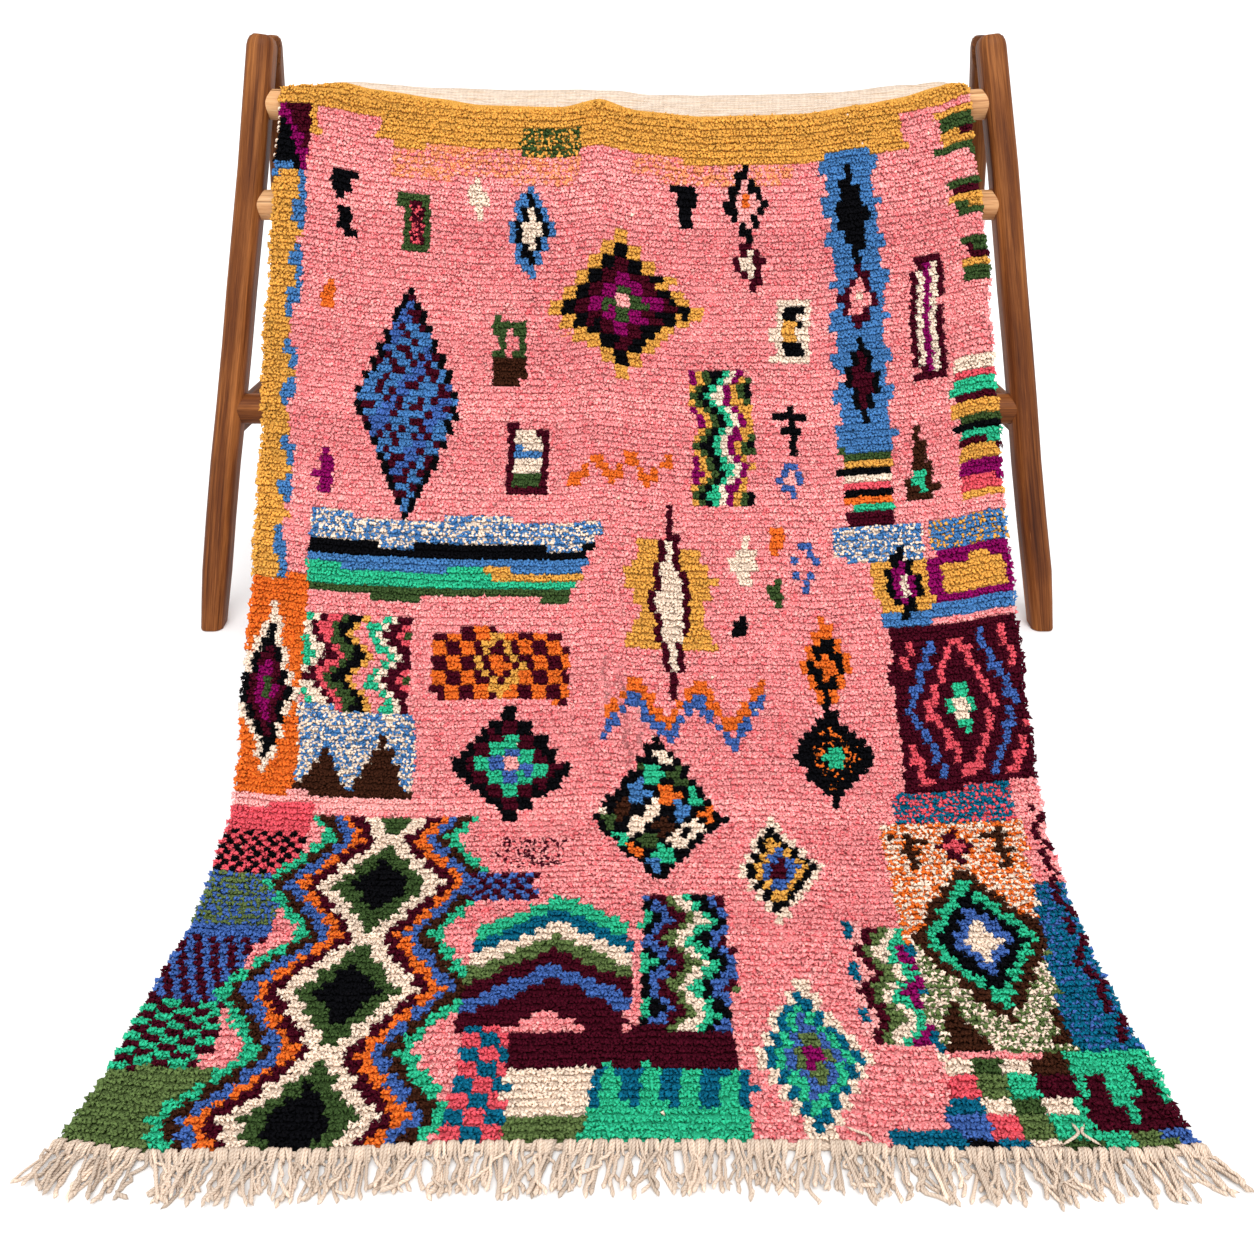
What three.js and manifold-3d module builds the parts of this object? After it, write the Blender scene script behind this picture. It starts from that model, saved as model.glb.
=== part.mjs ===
// Boujaad pile rug draped over the top rung of a wooden ladder stand.
// Millimetres, +Z up. The model is drawn from the rug's hem, with Y = 0 on the hem line and +Y going
// back under the stand, and is moved at the end so that the middle of its footprint is the origin.
import * as THREE from 'three';
import { mergeVertices } from 'three/addons/utils/BufferGeometryUtils.js';
import Module from 'manifold-3d';

const wasm = await Module();
wasm.setup();

// Driving dimensions

const JOINT_GAP = 0.3; // between a tenon and its mortise, and between touching pieces
const TENON = 16; // how far a rung or stretcher goes into a leg

// Front legs: the axis runs from the foot to the top, splayed sideways and leaning back.
const FRONT_LEG = { footX: 958, footY: 1698, topX: 787, topY: 2027, topZ: 1256, width: 56, depth: 76 };

// Rear legs lean forward against the front legs, a little further in.
const REAR_LEG = { footX: 888, footY: 2359, topX: 775, topY: 2059, topZ: 1250, width: 40, depth: 56 };

const LEG_CORNER = 13; // rounding of a leg's long edges

// Sections of a leg near its foot and near its top, as shares of its full width and depth.
// The first one lies below the floor and is cut off level.
const FOOT_SECTIONS = [
  { above: -40, width: 0.84, depth: 0.92 },
  { above: 0, width: 0.84, depth: 0.92 },
  { above: 58, width: 0.92, depth: 0.96 },
  { above: 130, width: 1, depth: 1 },
];
const TOP_SECTIONS = [
  { below: 24, share: 1 },
  { below: 9, share: 0.91 },
  { below: 0, share: 0.67 },
];
const FOOT_LEAN = 0.35; // share of the foot's narrowing that moves it inward

// Rungs on the front legs, with the height of the centre line
const RUNGS = [
  { name: 'rung_top', z: 1119, radius: 32.5 },
  { name: 'rung_middle', z: 912, radius: 32.5 },
  { name: 'rung_lower', z: 481, radius: 34.5 },
];
const RUNG_SIDES = 20;
const TOP_RUNG_BOW = 22; // the top rung sags by this much in the middle
const REAR_RUNG = { name: 'rung_rear', z: 300, radius: 20 };
const STRETCHER = { z: 440, height: 66, thickness: 26, corner: 7, outward: 4 };

// Rug: thickness of the pile field and of the flat-woven end, and how the cloth lies along the run
const PILE_THICK = 14;
const WEAVE_THICK = 5;
const EDGE_THICK = 8; // the pile thins to this along the sides and the hem
const EDGE_ROUND = 9; // width of that rounding
const RUNG_CLEAR = 0.9; // between the rung and the underside of the cloth
const TAIL = 215; // flat-woven end hanging behind the rung
const LEAVE_ANGLE = 60; // degrees below level where the cloth leaves the rung
const TOUCH_DOWN = 780; // distance from the hem to where the cloth meets the floor
const SLOPE_HANDLE = 0.45; // how far the cloth keeps its angle below the rung, in chord lengths
const FLOOR_HANDLE = 0.18; // how gently it turns on to the floor, in chord lengths

const WRAP_ROWS = 8; // rows of faces round the rung, behind its crest
const FRONT_WRAP_ROWS = 5;
const TAIL_ROWS = 5;
const SLOPE_ROWS = 30;
const FLOOR_ROWS = 12;
const FIELD_COLUMNS = 24;
const NOMINAL_WIDTH = 1500;

// Reach of each side from the middle line, down the run. The run is measured from the crest.
const SIDES = [
  { run: -250, left: 742, right: 740 },
  { run: 0, left: 747, right: 742 },
  { run: 70, left: 753, right: 748 },
  { run: 160, left: 758, right: 757 },
  { run: 280, left: 765, right: 766 },
  { run: 420, left: 770, right: 776 },
  { run: 600, left: 771, right: 777 },
  { run: 800, left: 767, right: 780 },
  { run: 940, left: 763, right: 779 },
  { run: 1120, left: 760, right: 779 },
  { run: 1300, left: 755, right: 783 },
  { run: 1470, left: 742, right: 775 },
  { run: 1620, left: 733, right: 768 },
  { run: 1790, left: 724, right: 757 },
  { run: 1910, left: 722, right: 748 },
  { run: 2030, left: 728, right: 752 },
  { run: 2230, left: 748, right: 759 },
  { run: 2400, left: 769, right: 776 },
  { run: 2490, left: 784, right: 784 },
];
const SIDE_WAVE = { height: 4, long: 61, short: 27.3 }; // small waves along the sides

// Line of the hem: how far it falls short of (+) or passes (-) the straight line, across the width
const HEM = [
  { x: -775, back: 20 },
  { x: -650, back: -2 },
  { x: -500, back: 2 },
  { x: -420, back: 0 },
  { x: -250, back: 15 },
  { x: 0, back: 18 },
  { x: 280, back: 17 },
  { x: 400, back: 3 },
  { x: 700, back: 2 },
  { x: 775, back: 10 },
];

// Upper edge of the pile: how far down the run from the crest the pile begins, across the width
const PILE_EDGE = [
  { x: -745, run: -4 },
  { x: -690, run: -4 },
  { x: -640, run: 3 },
  { x: -549, run: 18 },
  { x: -403, run: 28 },
  { x: -317, run: 36 },
  { x: -145, run: 38 },
  { x: -58, run: 24 },
  { x: 28, run: 44 },
  { x: 158, run: 57 },
  { x: 374, run: 56 },
  { x: 503, run: 40 },
  { x: 589, run: 31 },
  { x: 674, run: 16 },
  { x: 715, run: 0 },
  { x: 745, run: -6 },
];
const PILE_STEP = 9; // run over which the pile rises to its full height

// Over the rung the cloth lies a little loose: its rise at the crest, across the width
const CREST = [
  { x: -735, rise: 0 },
  { x: -690, rise: 4 },
  { x: -610, rise: 18 },
  { x: -490, rise: 15 },
  { x: -410, rise: 12 },
  { x: -250, rise: 10 },
  { x: -60, rise: 14 },
  { x: 70, rise: 3 },
  { x: 160, rise: 0 },
  { x: 380, rise: 0 },
  { x: 485, rise: 3 },
  { x: 595, rise: 11 },
  { x: 680, rise: 14 },
  { x: 735, rise: 6 },
];
const CREST_SPAN = 70; // run over which the rise dies away, on either side

// Soft ridges and troughs on the hanging part, each a long low fold
const FOLDS = [
  { x: 20, lean: -0.05, from: 620, to: 1500, height: 9, width: 60 },
  { x: -70, lean: 0.03, from: 820, to: 1420, height: -5, width: 55 },
  { x: 250, lean: 0.06, from: 300, to: 1350, height: 6, width: 120 },
  { x: -420, lean: -0.04, from: 350, to: 1500, height: 7, width: 140 },
  { x: 560, lean: 0.05, from: 500, to: 1550, height: -6, width: 110 },
];

// Fringe: a cord along the hem with bunches of strands
const CORD_WIDTH = 12;
const CORD_SECTION = [
  { out: 0, up: 0 },
  { out: 0, up: 6 },
  { out: 3.4, up: 10 },
  { out: 8.6, up: 10 },
  { out: CORD_WIDTH, up: 5.5 },
  { out: CORD_WIDTH, up: 0 },
];
const ROOT_DEPTH = 7.2; // how far from the hem a strand starts, inside the cord
const BUNCHES = 72;
const BUNCH_INSET = 12; // from the corner of the rug to the middle of the first bunch
const BUNCH_TURN = 0.5; // degrees that a bunch strays
const STRANDS_PER_BUNCH = 3;
const STRAND_PITCH = 5.6; // within a bunch, at the root
const STRAND_FAN = 0.9; // degrees between neighbours in a bunch
const STRAND_WIDTH = 4.2;
const STRAND_HEIGHT = 4.4;
const STRAND_LENGTH = 88;
const STRAND_LENGTH_SPREAD = 16;
const STRAND_SWAY = 0.6; // sideways bend
const STRAND_STATIONS = [
  { along: 0, size: 1, drift: 0 },
  { along: 0.55, size: 1, drift: 0.6 },
  { along: 1, size: 0.35, drift: -0.4 },
];
const CORNER_FAN = 34; // degrees that the outermost bunch turns outward
const CORNER_REACH = 150; // distance from the corner over which the bunches turn

// Materials

const finish = (color, roughness) => new THREE.MeshStandardMaterial({ color, roughness, metalness: 0 });
const PILE_WOOL = finish('#d9707c', 0.95);
const FRINGE_YARN = finish('#e8d8c4', 0.95);
const LEG_WOOD = finish('#a87047', 0.55);
const RUNG_WOOD = finish('#c79a6c', 0.55);

// Small helpers

const rad = THREE.MathUtils.degToRad;
const smooth = (t) => THREE.MathUtils.smoothstep(t, 0, 1);

// A repeatable value between -1 and 1 for the number n
function scatter(n) {
  const wave = Math.sin(n * 12.9898 + 4.1414) * 43758.5453;
  return 2 * (wave - Math.floor(wave)) - 1;
}

// Reads a table by its first column and eases between the two rows on either side
function readTable(rows, key, at, column) {
  if (at <= rows[0][key]) return rows[0][column];
  for (let i = 1; i < rows.length; i += 1) {
    const [low, high] = [rows[i - 1], rows[i]];
    if (at <= high[key]) {
      const share = (at - low[key]) / (high[key] - low[key]);
      return THREE.MathUtils.lerp(low[column], high[column], (share + smooth(share)) / 2);
    }
  }
  return rows[rows.length - 1][column];
}

// Booleans

function solidOf(geometry) {
  const bare = geometry.clone();
  bare.deleteAttribute('normal');
  bare.deleteAttribute('uv');
  const merged = mergeVertices(bare, 1e-4);
  return new wasm.Manifold(new wasm.Mesh({
    numProp: 3,
    vertProperties: new Float32Array(merged.attributes.position.array),
    triVerts: new Uint32Array(merged.index.array),
  }));
}

function geometryOf(solid) {
  const mesh = solid.getMesh();
  const geometry = new THREE.BufferGeometry();
  geometry.setAttribute('position', new THREE.BufferAttribute(new Float32Array(mesh.vertProperties), 3));
  geometry.setIndex(new THREE.BufferAttribute(new Uint32Array(mesh.triVerts), 1));
  geometry.computeVertexNormals();
  return geometry;
}

// Joins rings of equally many points into one closed skin, with a flat cap at each end
function skin(rings) {
  const count = rings[0].length;
  const points = rings.flat();
  const faces = [];
  for (let r = 0; r + 1 < rings.length; r += 1) {
    for (let i = 0; i < count; i += 1) {
      const a = r * count + i;
      const b = r * count + (i + 1) % count;
      faces.push(a, b, b + count, a, b + count, a + count);
    }
  }
  const last = (rings.length - 1) * count;
  for (let i = 1; i + 1 < count; i += 1) {
    faces.push(0, i + 1, i, last, last + i, last + i + 1);
  }
  const geometry = new THREE.BufferGeometry().setFromPoints(points);
  geometry.setIndex(faces);
  return geometry;
}

// Stand

// Places on a leg's axis, with side = -1 for left and +1 for right
function legAxis(leg, side) {
  const foot = new THREE.Vector3(side * leg.footX, leg.footY, 0);
  const top = new THREE.Vector3(side * leg.topX, leg.topY, leg.topZ);
  const along = top.clone().sub(foot).normalize();
  const across = new THREE.Vector3(1, 0, 0);
  across.addScaledVector(along, -across.dot(along)).normalize();
  const back = along.clone().cross(across);
  const atHeight = (z) => foot.clone().lerp(top, z / leg.topZ);
  return { foot, top, along, across, back, atHeight };
}

// Points of a rounded rectangle, anticlockwise
function roundedRectangle(width, depth, corner) {
  const [w, d] = [width / 2, depth / 2];
  const shape = new THREE.Shape();
  shape.moveTo(-w + corner, -d);
  shape.lineTo(w - corner, -d);
  shape.absarc(w - corner, -d + corner, corner, -Math.PI / 2, 0);
  shape.lineTo(w, d - corner);
  shape.absarc(w - corner, d - corner, corner, 0, Math.PI / 2);
  shape.lineTo(-w + corner, d);
  shape.absarc(-w + corner, d - corner, corner, Math.PI / 2, Math.PI);
  shape.lineTo(-w, -d + corner);
  shape.absarc(-w + corner, -d + corner, corner, Math.PI, 1.5 * Math.PI);
  const points = shape.getPoints(2);
  return points.filter((p, i) => p.distanceTo(points[(i + 1) % points.length]) > 0.01);
}

// A leg with a tapered foot and a domed top, before its foot is cut level
function legBlank(leg, side) {
  const axis = legAxis(leg, side);
  const length = axis.foot.distanceTo(axis.top);
  const outline = roundedRectangle(leg.width, leg.depth, LEG_CORNER);
  const ring = (height, width, depth, aside) => outline.map((p) => axis.foot.clone()
    .addScaledVector(axis.along, height)
    .addScaledVector(axis.across, p.x * width + aside)
    .addScaledVector(axis.back, p.y * depth));
  const foot = FOOT_SECTIONS.map(({ above, width, depth }) => (
    ring(above, width, depth, -side * FOOT_LEAN * (1 - width) * leg.width)));
  const top = TOP_SECTIONS.map(({ below, share }) => ring(length - below, share, share, 0));
  return solidOf(skin([...foot, ...top]));
}

const SPAN = 4000;
const belowFloor = solidOf(new THREE.BoxGeometry(2 * SPAN, 2 * SPAN, SPAN).translate(0, 0, -SPAN / 2));

// Everything behind the planed face where a rear leg meets the back of a front leg is kept
function frontOfSeat(side) {
  const axis = legAxis(FRONT_LEG, side);
  const reach = FRONT_LEG.depth / 2 + JOINT_GAP;
  const block = new THREE.BoxGeometry(400, SPAN, SPAN);
  block.translate(0, reach - SPAN / 2, 0);
  const turn = new THREE.Matrix4().makeBasis(axis.across, axis.back, axis.along);
  turn.setPosition(axis.top);
  return solidOf(block.applyMatrix4(turn));
}

const rungEnd = (leg, z) => legAxis(leg, 1).atHeight(z).x - leg.width / 2 + TENON;
const bowAt = (x) => TOP_RUNG_BOW * (1 - (x / rungEnd(FRONT_LEG, RUNGS[0].z)) ** 2);

// A round rung between two legs, grown by extra all over where it cuts a mortise
function rungBlank(leg, rung, bowed, extra) {
  const half = rungEnd(leg, rung.z) + extra;
  const { y } = legAxis(leg, 1).atHeight(rung.z);
  const steps = bowed ? 8 : 1;
  const rings = [];
  for (let i = 0; i <= steps; i += 1) {
    const x = half * (2 * i / steps - 1);
    const z = rung.z - (bowed ? bowAt(x) : 0);
    const ring = [];
    for (let k = 0; k < RUNG_SIDES; k += 1) {
      const turn = 2 * Math.PI * (k + 0.5) / RUNG_SIDES;
      const radius = rung.radius + extra;
      ring.push(new THREE.Vector3(x, y + radius * Math.cos(turn), z + radius * Math.sin(turn)));
    }
    rings.push(ring);
  }
  return solidOf(skin(rings));
}

// A flat side bar, from tenon to tenon
function stretcherBlank(side, extra) {
  const front = legAxis(FRONT_LEG, side).atHeight(STRETCHER.z);
  const rear = legAxis(REAR_LEG, side).atHeight(STRETCHER.z);
  const along = rear.clone().sub(front).normalize();
  const across = new THREE.Vector3(0, 0, 1).cross(along);
  const outward = new THREE.Vector3(side * STRETCHER.outward, 0, 0);
  const start = front.clone().addScaledVector(along, FRONT_LEG.depth / 2 - TENON - extra);
  const stop = rear.clone().addScaledVector(along, -REAR_LEG.depth / 2 + TENON + extra);
  const { thickness, height, corner } = STRETCHER;
  const outline = roundedRectangle(thickness + 2 * extra, height + 2 * extra, corner);
  const rings = [start, stop].map((end) => outline.map((p) => end.clone()
    .add(outward)
    .addScaledVector(across, p.x)
    .add(new THREE.Vector3(0, 0, p.y))));
  return solidOf(skin(rings));
}

function buildStand() {
  const pieces = [];
  const frontCuts = RUNGS.map((rung, i) => rungBlank(FRONT_LEG, rung, i === 0, JOINT_GAP));
  const rearCut = rungBlank(REAR_LEG, REAR_RUNG, false, JOINT_GAP);
  for (const [side, word] of [[-1, 'left'], [1, 'right']]) {
    const barCut = stretcherBlank(side, JOINT_GAP);
    let front = legBlank(FRONT_LEG, side).subtract(belowFloor).subtract(barCut);
    for (const cut of frontCuts) {
      front = front.subtract(cut);
    }
    const rear = legBlank(REAR_LEG, side).subtract(belowFloor).subtract(frontOfSeat(side))
      .subtract(rearCut).subtract(barCut);
    pieces.push([`leg_front_${word}`, front, LEG_WOOD]);
    pieces.push([`leg_rear_${word}`, rear, LEG_WOOD]);
    pieces.push([`stretcher_${word}`, stretcherBlank(side, 0), LEG_WOOD]);
  }
  RUNGS.forEach((rung, i) => {
    pieces.push([rung.name, rungBlank(FRONT_LEG, rung, i === 0, 0), i < 2 ? RUNG_WOOD : LEG_WOOD]);
  });
  pieces.push([REAR_RUNG.name, rungBlank(REAR_LEG, REAR_RUNG, false, 0), RUNG_WOOD]);
  return pieces;
}

// Rug

// The underside of the cloth in the plane across the rung, at the distance x from the middle.
// Each place is { y, z, turn }, turn being the angle of the cloth below level going forward.
function underside(x) {
  const { y: rungY } = legAxis(FRONT_LEG, 1).atHeight(RUNGS[0].z);
  const rungZ = RUNGS[0].z - bowAt(x);
  const radius = RUNGS[0].radius + RUNG_CLEAR;
  const places = [];
  const round = (turn) => places.push({
    y: rungY - radius * Math.sin(turn),
    z: rungZ + radius * Math.cos(turn),
    turn,
    run: radius * turn,
  });
  const behind = -Math.PI / 2;
  for (let i = TAIL_ROWS; i > 0; i -= 1) {
    const drop = TAIL * i / TAIL_ROWS;
    places.push({ y: rungY + radius, z: rungZ - drop, turn: behind, run: radius * behind - drop });
  }
  for (let i = 0; i < WRAP_ROWS; i += 1) {
    round(behind * (1 - i / WRAP_ROWS));
  }
  const leave = rad(LEAVE_ANGLE);
  for (let i = 0; i < FRONT_WRAP_ROWS; i += 1) {
    round(leave * i / FRONT_WRAP_ROWS);
  }
  const start = new THREE.Vector2(rungY - radius * Math.sin(leave), rungZ + radius * Math.cos(leave));
  const end = new THREE.Vector2(TOUCH_DOWN, 0);
  const chord = start.distanceTo(end);
  const downward = new THREE.Vector2(-Math.cos(leave), -Math.sin(leave));
  const slope = new THREE.CubicBezierCurve(
    start,
    start.clone().addScaledVector(downward, chord * SLOPE_HANDLE),
    end.clone().add(new THREE.Vector2(chord * FLOOR_HANDLE, 0)),
    end,
  );
  const slopeLength = slope.getLength();
  for (let i = 0; i <= SLOPE_ROWS; i += 1) {
    const at = slope.getPointAt(i / SLOPE_ROWS);
    const heading = slope.getTangentAt(i / SLOPE_ROWS);
    places.push({
      y: at.x,
      z: at.y,
      turn: Math.atan2(-heading.y, -heading.x),
      run: radius * leave + slopeLength * i / SLOPE_ROWS,
    });
  }
  const hem = readTable(HEM, 'x', x, 'back');
  for (let i = 1; i <= FLOOR_ROWS; i += 1) {
    const y = THREE.MathUtils.lerp(TOUCH_DOWN, hem, i / FLOOR_ROWS);
    places.push({ y, z: 0, turn: 0, run: radius * leave + slopeLength + TOUCH_DOWN - y });
  }
  return places;
}

// Height of the cloth over the line it would follow if drawn tight, zero on the floor
function looseLift(x, run) {
  const aside = Math.min(Math.abs(run) / CREST_SPAN, 1);
  let lift = readTable(CREST, 'x', x, 'rise') * (1 - smooth(aside));
  for (const fold of FOLDS) {
    const share = (run - fold.from) / (fold.to - fold.from);
    if (share > 0 && share < 1) {
      const middle = fold.x + fold.lean * (run - fold.from);
      const offset = (x - middle) / fold.width;
      lift += fold.height * Math.sin(Math.PI * share) ** 2 * Math.exp(-offset * offset);
    }
  }
  return lift;
}

function sideWave(run, side) {
  const waves = Math.sin(run / SIDE_WAVE.long + 2 * side) + Math.sin(run / SIDE_WAVE.short - side);
  return SIDE_WAVE.height * waves / 2;
}

// Where each column of faces lies across the width, as a share from left to right.
// The outermost columns are close to the edge, so that the edge is rounded.
function columnShares() {
  const rim = EDGE_ROUND / NOMINAL_WIDTH;
  const shares = [0];
  for (let i = 0; i <= FIELD_COLUMNS; i += 1) {
    shares.push(THREE.MathUtils.lerp(rim, 1 - rim, i / FIELD_COLUMNS));
  }
  shares.push(1);
  return shares;
}

function rugColumns() {
  return columnShares().map((share) => {
    const guess = THREE.MathUtils.lerp(-SIDES[1].left, SIDES[1].right, share);
    return underside(guess).map((place) => {
      const left = readTable(SIDES, 'run', place.run, 'left') + sideWave(place.run, -1);
      const right = readTable(SIDES, 'run', place.run, 'right') + sideWave(place.run, 1);
      return { ...place, x: THREE.MathUtils.lerp(-left, right, share) };
    });
  });
}

function thicknessAt(place, onRim) {
  const start = readTable(PILE_EDGE, 'x', place.x, 'run');
  const pile = THREE.MathUtils.smoothstep(place.run, start - PILE_STEP / 2, start + PILE_STEP / 2);
  const full = onRim ? EDGE_THICK : PILE_THICK;
  return THREE.MathUtils.lerp(WEAVE_THICK, full, pile);
}

function buildRug() {
  const columns = rugColumns();
  const rows = columns[0].length;
  const points = [];
  const lastColumn = columns.length - 1;
  columns.forEach((column, c) => column.forEach((place, r) => {
    const onRim = c === 0 || c === lastColumn || r === rows - 1;
    const lift = looseLift(place.x, place.run);
    const thick = thicknessAt(place, onRim);
    for (const height of [lift, lift + thick]) {
      const y = place.y - height * Math.sin(place.turn);
      const z = place.z + height * Math.cos(place.turn);
      points.push(new THREE.Vector3(place.x, y, z));
    }
  }));
  const at = (c, r, layer) => 2 * (c * rows + r) + layer;
  const faces = [];
  const quad = (a, b, c, d) => faces.push(a, b, c, a, c, d);
  for (let c = 0; c < lastColumn; c += 1) {
    for (let r = 0; r + 1 < rows; r += 1) {
      quad(at(c, r, 1), at(c, r + 1, 1), at(c + 1, r + 1, 1), at(c + 1, r, 1));
      quad(at(c, r, 0), at(c + 1, r, 0), at(c + 1, r + 1, 0), at(c, r + 1, 0));
    }
    quad(at(c, 0, 0), at(c, 0, 1), at(c + 1, 0, 1), at(c + 1, 0, 0));
    quad(at(c, rows - 1, 0), at(c + 1, rows - 1, 0), at(c + 1, rows - 1, 1), at(c, rows - 1, 1));
  }
  for (let r = 0; r + 1 < rows; r += 1) {
    quad(at(0, r, 0), at(0, r + 1, 0), at(0, r + 1, 1), at(0, r, 1));
    quad(at(lastColumn, r, 0), at(lastColumn, r, 1), at(lastColumn, r + 1, 1), at(lastColumn, r + 1, 0));
  }
  const geometry = new THREE.BufferGeometry().setFromPoints(points);
  geometry.setIndex(faces);
  return { geometry: geometryOf(solidOf(geometry)), hem: columns.map((column) => column[rows - 1]) };
}

// Fringe

// The cord: one section with a flat underside, carried along the hem
function cordBlank(hem) {
  const rings = hem.map((place) => CORD_SECTION.map(({ out, up }) => (
    new THREE.Vector3(place.x, place.y - JOINT_GAP - out, up))));
  return solidOf(skin(rings));
}

// A strand lying level on the floor: a three-sided bar that tapers to its free end
function strandBlank(root, heading, length, sway) {
  const ahead = new THREE.Vector3(Math.sin(heading), -Math.cos(heading), 0);
  const aside = new THREE.Vector3(-ahead.y, ahead.x, 0);
  const rings = STRAND_STATIONS.map(({ along, size, drift }) => {
    const centre = root.clone()
      .addScaledVector(ahead, along * length)
      .addScaledVector(aside, drift * sway);
    const half = size * STRAND_WIDTH / 2;
    return [
      centre.clone().addScaledVector(aside, -half),
      centre.clone().addScaledVector(aside, half),
      centre.clone().setZ(size * STRAND_HEIGHT),
    ];
  });
  return solidOf(skin(rings));
}

function buildFringe(hem) {
  let solid = cordBlank(hem);
  const [leftX, rightX] = [hem[0].x, hem[hem.length - 1].x];
  const near = (distance) => Math.max(0, 1 - distance / CORNER_REACH);
  for (let b = 0; b < BUNCHES; b += 1) {
    const middle = THREE.MathUtils.lerp(leftX + BUNCH_INSET, rightX - BUNCH_INSET, b / (BUNCHES - 1));
    const outward = near(rightX - middle) ** 2 - near(middle - leftX) ** 2;
    const bunchTurn = CORNER_FAN * outward + BUNCH_TURN * scatter(b);
    const sway = STRAND_SWAY * scatter(b + BUNCHES);
    for (let s = 0; s < STRANDS_PER_BUNCH; s += 1) {
      const aside = s - (STRANDS_PER_BUNCH - 1) / 2;
      const x = middle + aside * STRAND_PITCH;
      const root = new THREE.Vector3(x, hemAt(hem, x) - JOINT_GAP - ROOT_DEPTH, 0);
      const chance = scatter((b + 2 * BUNCHES) * STRANDS_PER_BUNCH + s);
      const length = STRAND_LENGTH + STRAND_LENGTH_SPREAD * chance;
      solid = solid.add(strandBlank(root, rad(bunchTurn + aside * STRAND_FAN), length, sway));
    }
  }
  return geometryOf(solid);
}

// The hem's Y at any x, along the straight stretches between its columns
function hemAt(hem, x) {
  const next = hem.findIndex((place) => place.x >= x);
  const [low, high] = [hem[Math.max(next - 1, 0)], hem[Math.max(next, 1)]];
  return THREE.MathUtils.mapLinear(x, low.x, high.x, low.y, high.y);
}

// Assembly

const model = new THREE.Group();

function addMesh(name, geometry, material) {
  const mesh = new THREE.Mesh(geometry, material);
  mesh.name = name;
  model.add(mesh);
}

const rug = buildRug();
addMesh('rug', rug.geometry, PILE_WOOL);
addMesh('fringe', buildFringe(rug.hem), FRINGE_YARN);
for (const [name, solid, material] of buildStand()) {
  addMesh(name, geometryOf(solid), material);
}

const extent = new THREE.Box3().setFromObject(model);
const middle = extent.getCenter(new THREE.Vector3());
model.position.set(-middle.x, -middle.y, -extent.min.z);
model.updateMatrixWorld(true);

export default model;
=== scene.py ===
"""Boujaad pile rug hanging over a wooden ladder stand: its knotted pile, flat-woven end, fringe and wood."""
import math

import bmesh
import bpy
import numpy as np
from mathutils import Matrix, Vector


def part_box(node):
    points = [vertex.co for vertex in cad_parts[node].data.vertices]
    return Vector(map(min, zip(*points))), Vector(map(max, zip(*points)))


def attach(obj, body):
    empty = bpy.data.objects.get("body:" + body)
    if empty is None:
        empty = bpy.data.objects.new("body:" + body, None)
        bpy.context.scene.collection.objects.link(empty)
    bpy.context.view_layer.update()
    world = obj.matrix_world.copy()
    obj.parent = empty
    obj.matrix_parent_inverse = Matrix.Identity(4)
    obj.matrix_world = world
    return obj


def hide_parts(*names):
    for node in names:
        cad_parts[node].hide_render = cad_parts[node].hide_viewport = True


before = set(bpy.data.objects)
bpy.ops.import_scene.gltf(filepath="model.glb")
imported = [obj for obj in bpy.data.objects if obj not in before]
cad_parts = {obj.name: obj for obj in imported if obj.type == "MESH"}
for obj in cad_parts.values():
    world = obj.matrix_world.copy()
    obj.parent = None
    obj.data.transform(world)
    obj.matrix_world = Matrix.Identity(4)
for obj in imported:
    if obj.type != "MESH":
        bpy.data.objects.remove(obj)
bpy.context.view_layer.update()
SEED = 417

# Places in the frame. The rug's hem line is the zero of the distances that run back under the stand.

RUNG_BACK = 1.99111  # from the hem line to the axis of the top rung
rung_low, rung_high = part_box("rung_top")
HEM_Y = (rung_low.y + rung_high.y) / 2 - RUNG_BACK

# Stand, in metres

TENON = 0.016
FRONT_LEG = dict(foot=(0.958, 1.698), top=(0.787, 2.027), height=1.256, width=0.060, depth=0.076)
REAR_LEG = dict(foot=(0.888, 2.359), top=(0.775, 2.059), height=1.250, width=0.040, depth=0.056)
LEG_CORNER = 0.36  # of the width
LEG_SLACK = 0.04  # length below the floor, cut off level
FOOT = [dict(above=0.0, share=0.84), dict(above=0.058, share=0.92), dict(above=0.130, share=1.0)]
TOP = [dict(below=0.026, share=1.0), dict(below=0.015, share=0.95), dict(below=0.006, share=0.84),
       dict(below=0.0, share=0.70)]
RUNGS = [
    dict(node="rung_top", piece="top_rung", leg=FRONT_LEG, z=1.119, radius=0.0325, bow=0.022),
    dict(node="rung_middle", piece="middle_rung", leg=FRONT_LEG, z=0.912, radius=0.0325, bow=0.0),
    dict(node="rung_lower", piece="lower_rung", leg=FRONT_LEG, z=0.481, radius=0.0345, bow=0.0),
    dict(node="rung_rear", piece="rear_rung", leg=REAR_LEG, z=0.300, radius=0.0200, bow=0.0),
]
STRETCHER = dict(z=0.440, height=0.066, thickness=0.026, corner=0.007, outward=0.004)
SEAT_GAP = 0.0003

# Rug, in metres

WEAVE_THICK = 0.005
TAIL = 0.215  # of the woven end, from the back of the rung down
LEAVE_ANGLE = math.radians(60)  # where the cloth leaves the rung
TOUCH_DOWN = 0.780  # where it meets the floor, from the hem line
SLOPE_HANDLE = 0.45  # pull of the slope's curve at the rung, as a share of its chord
FLOOR_HANDLE = 0.18
WRAP_RADIUS = RUNGS[0]["radius"] + 0.0009
FLAT_WIDTH = 1.50
FLAT_LENGTH = 2.476  # of the knotted part
KNOT_COLUMNS = 108
KNOT_ROWS = 150

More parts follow.
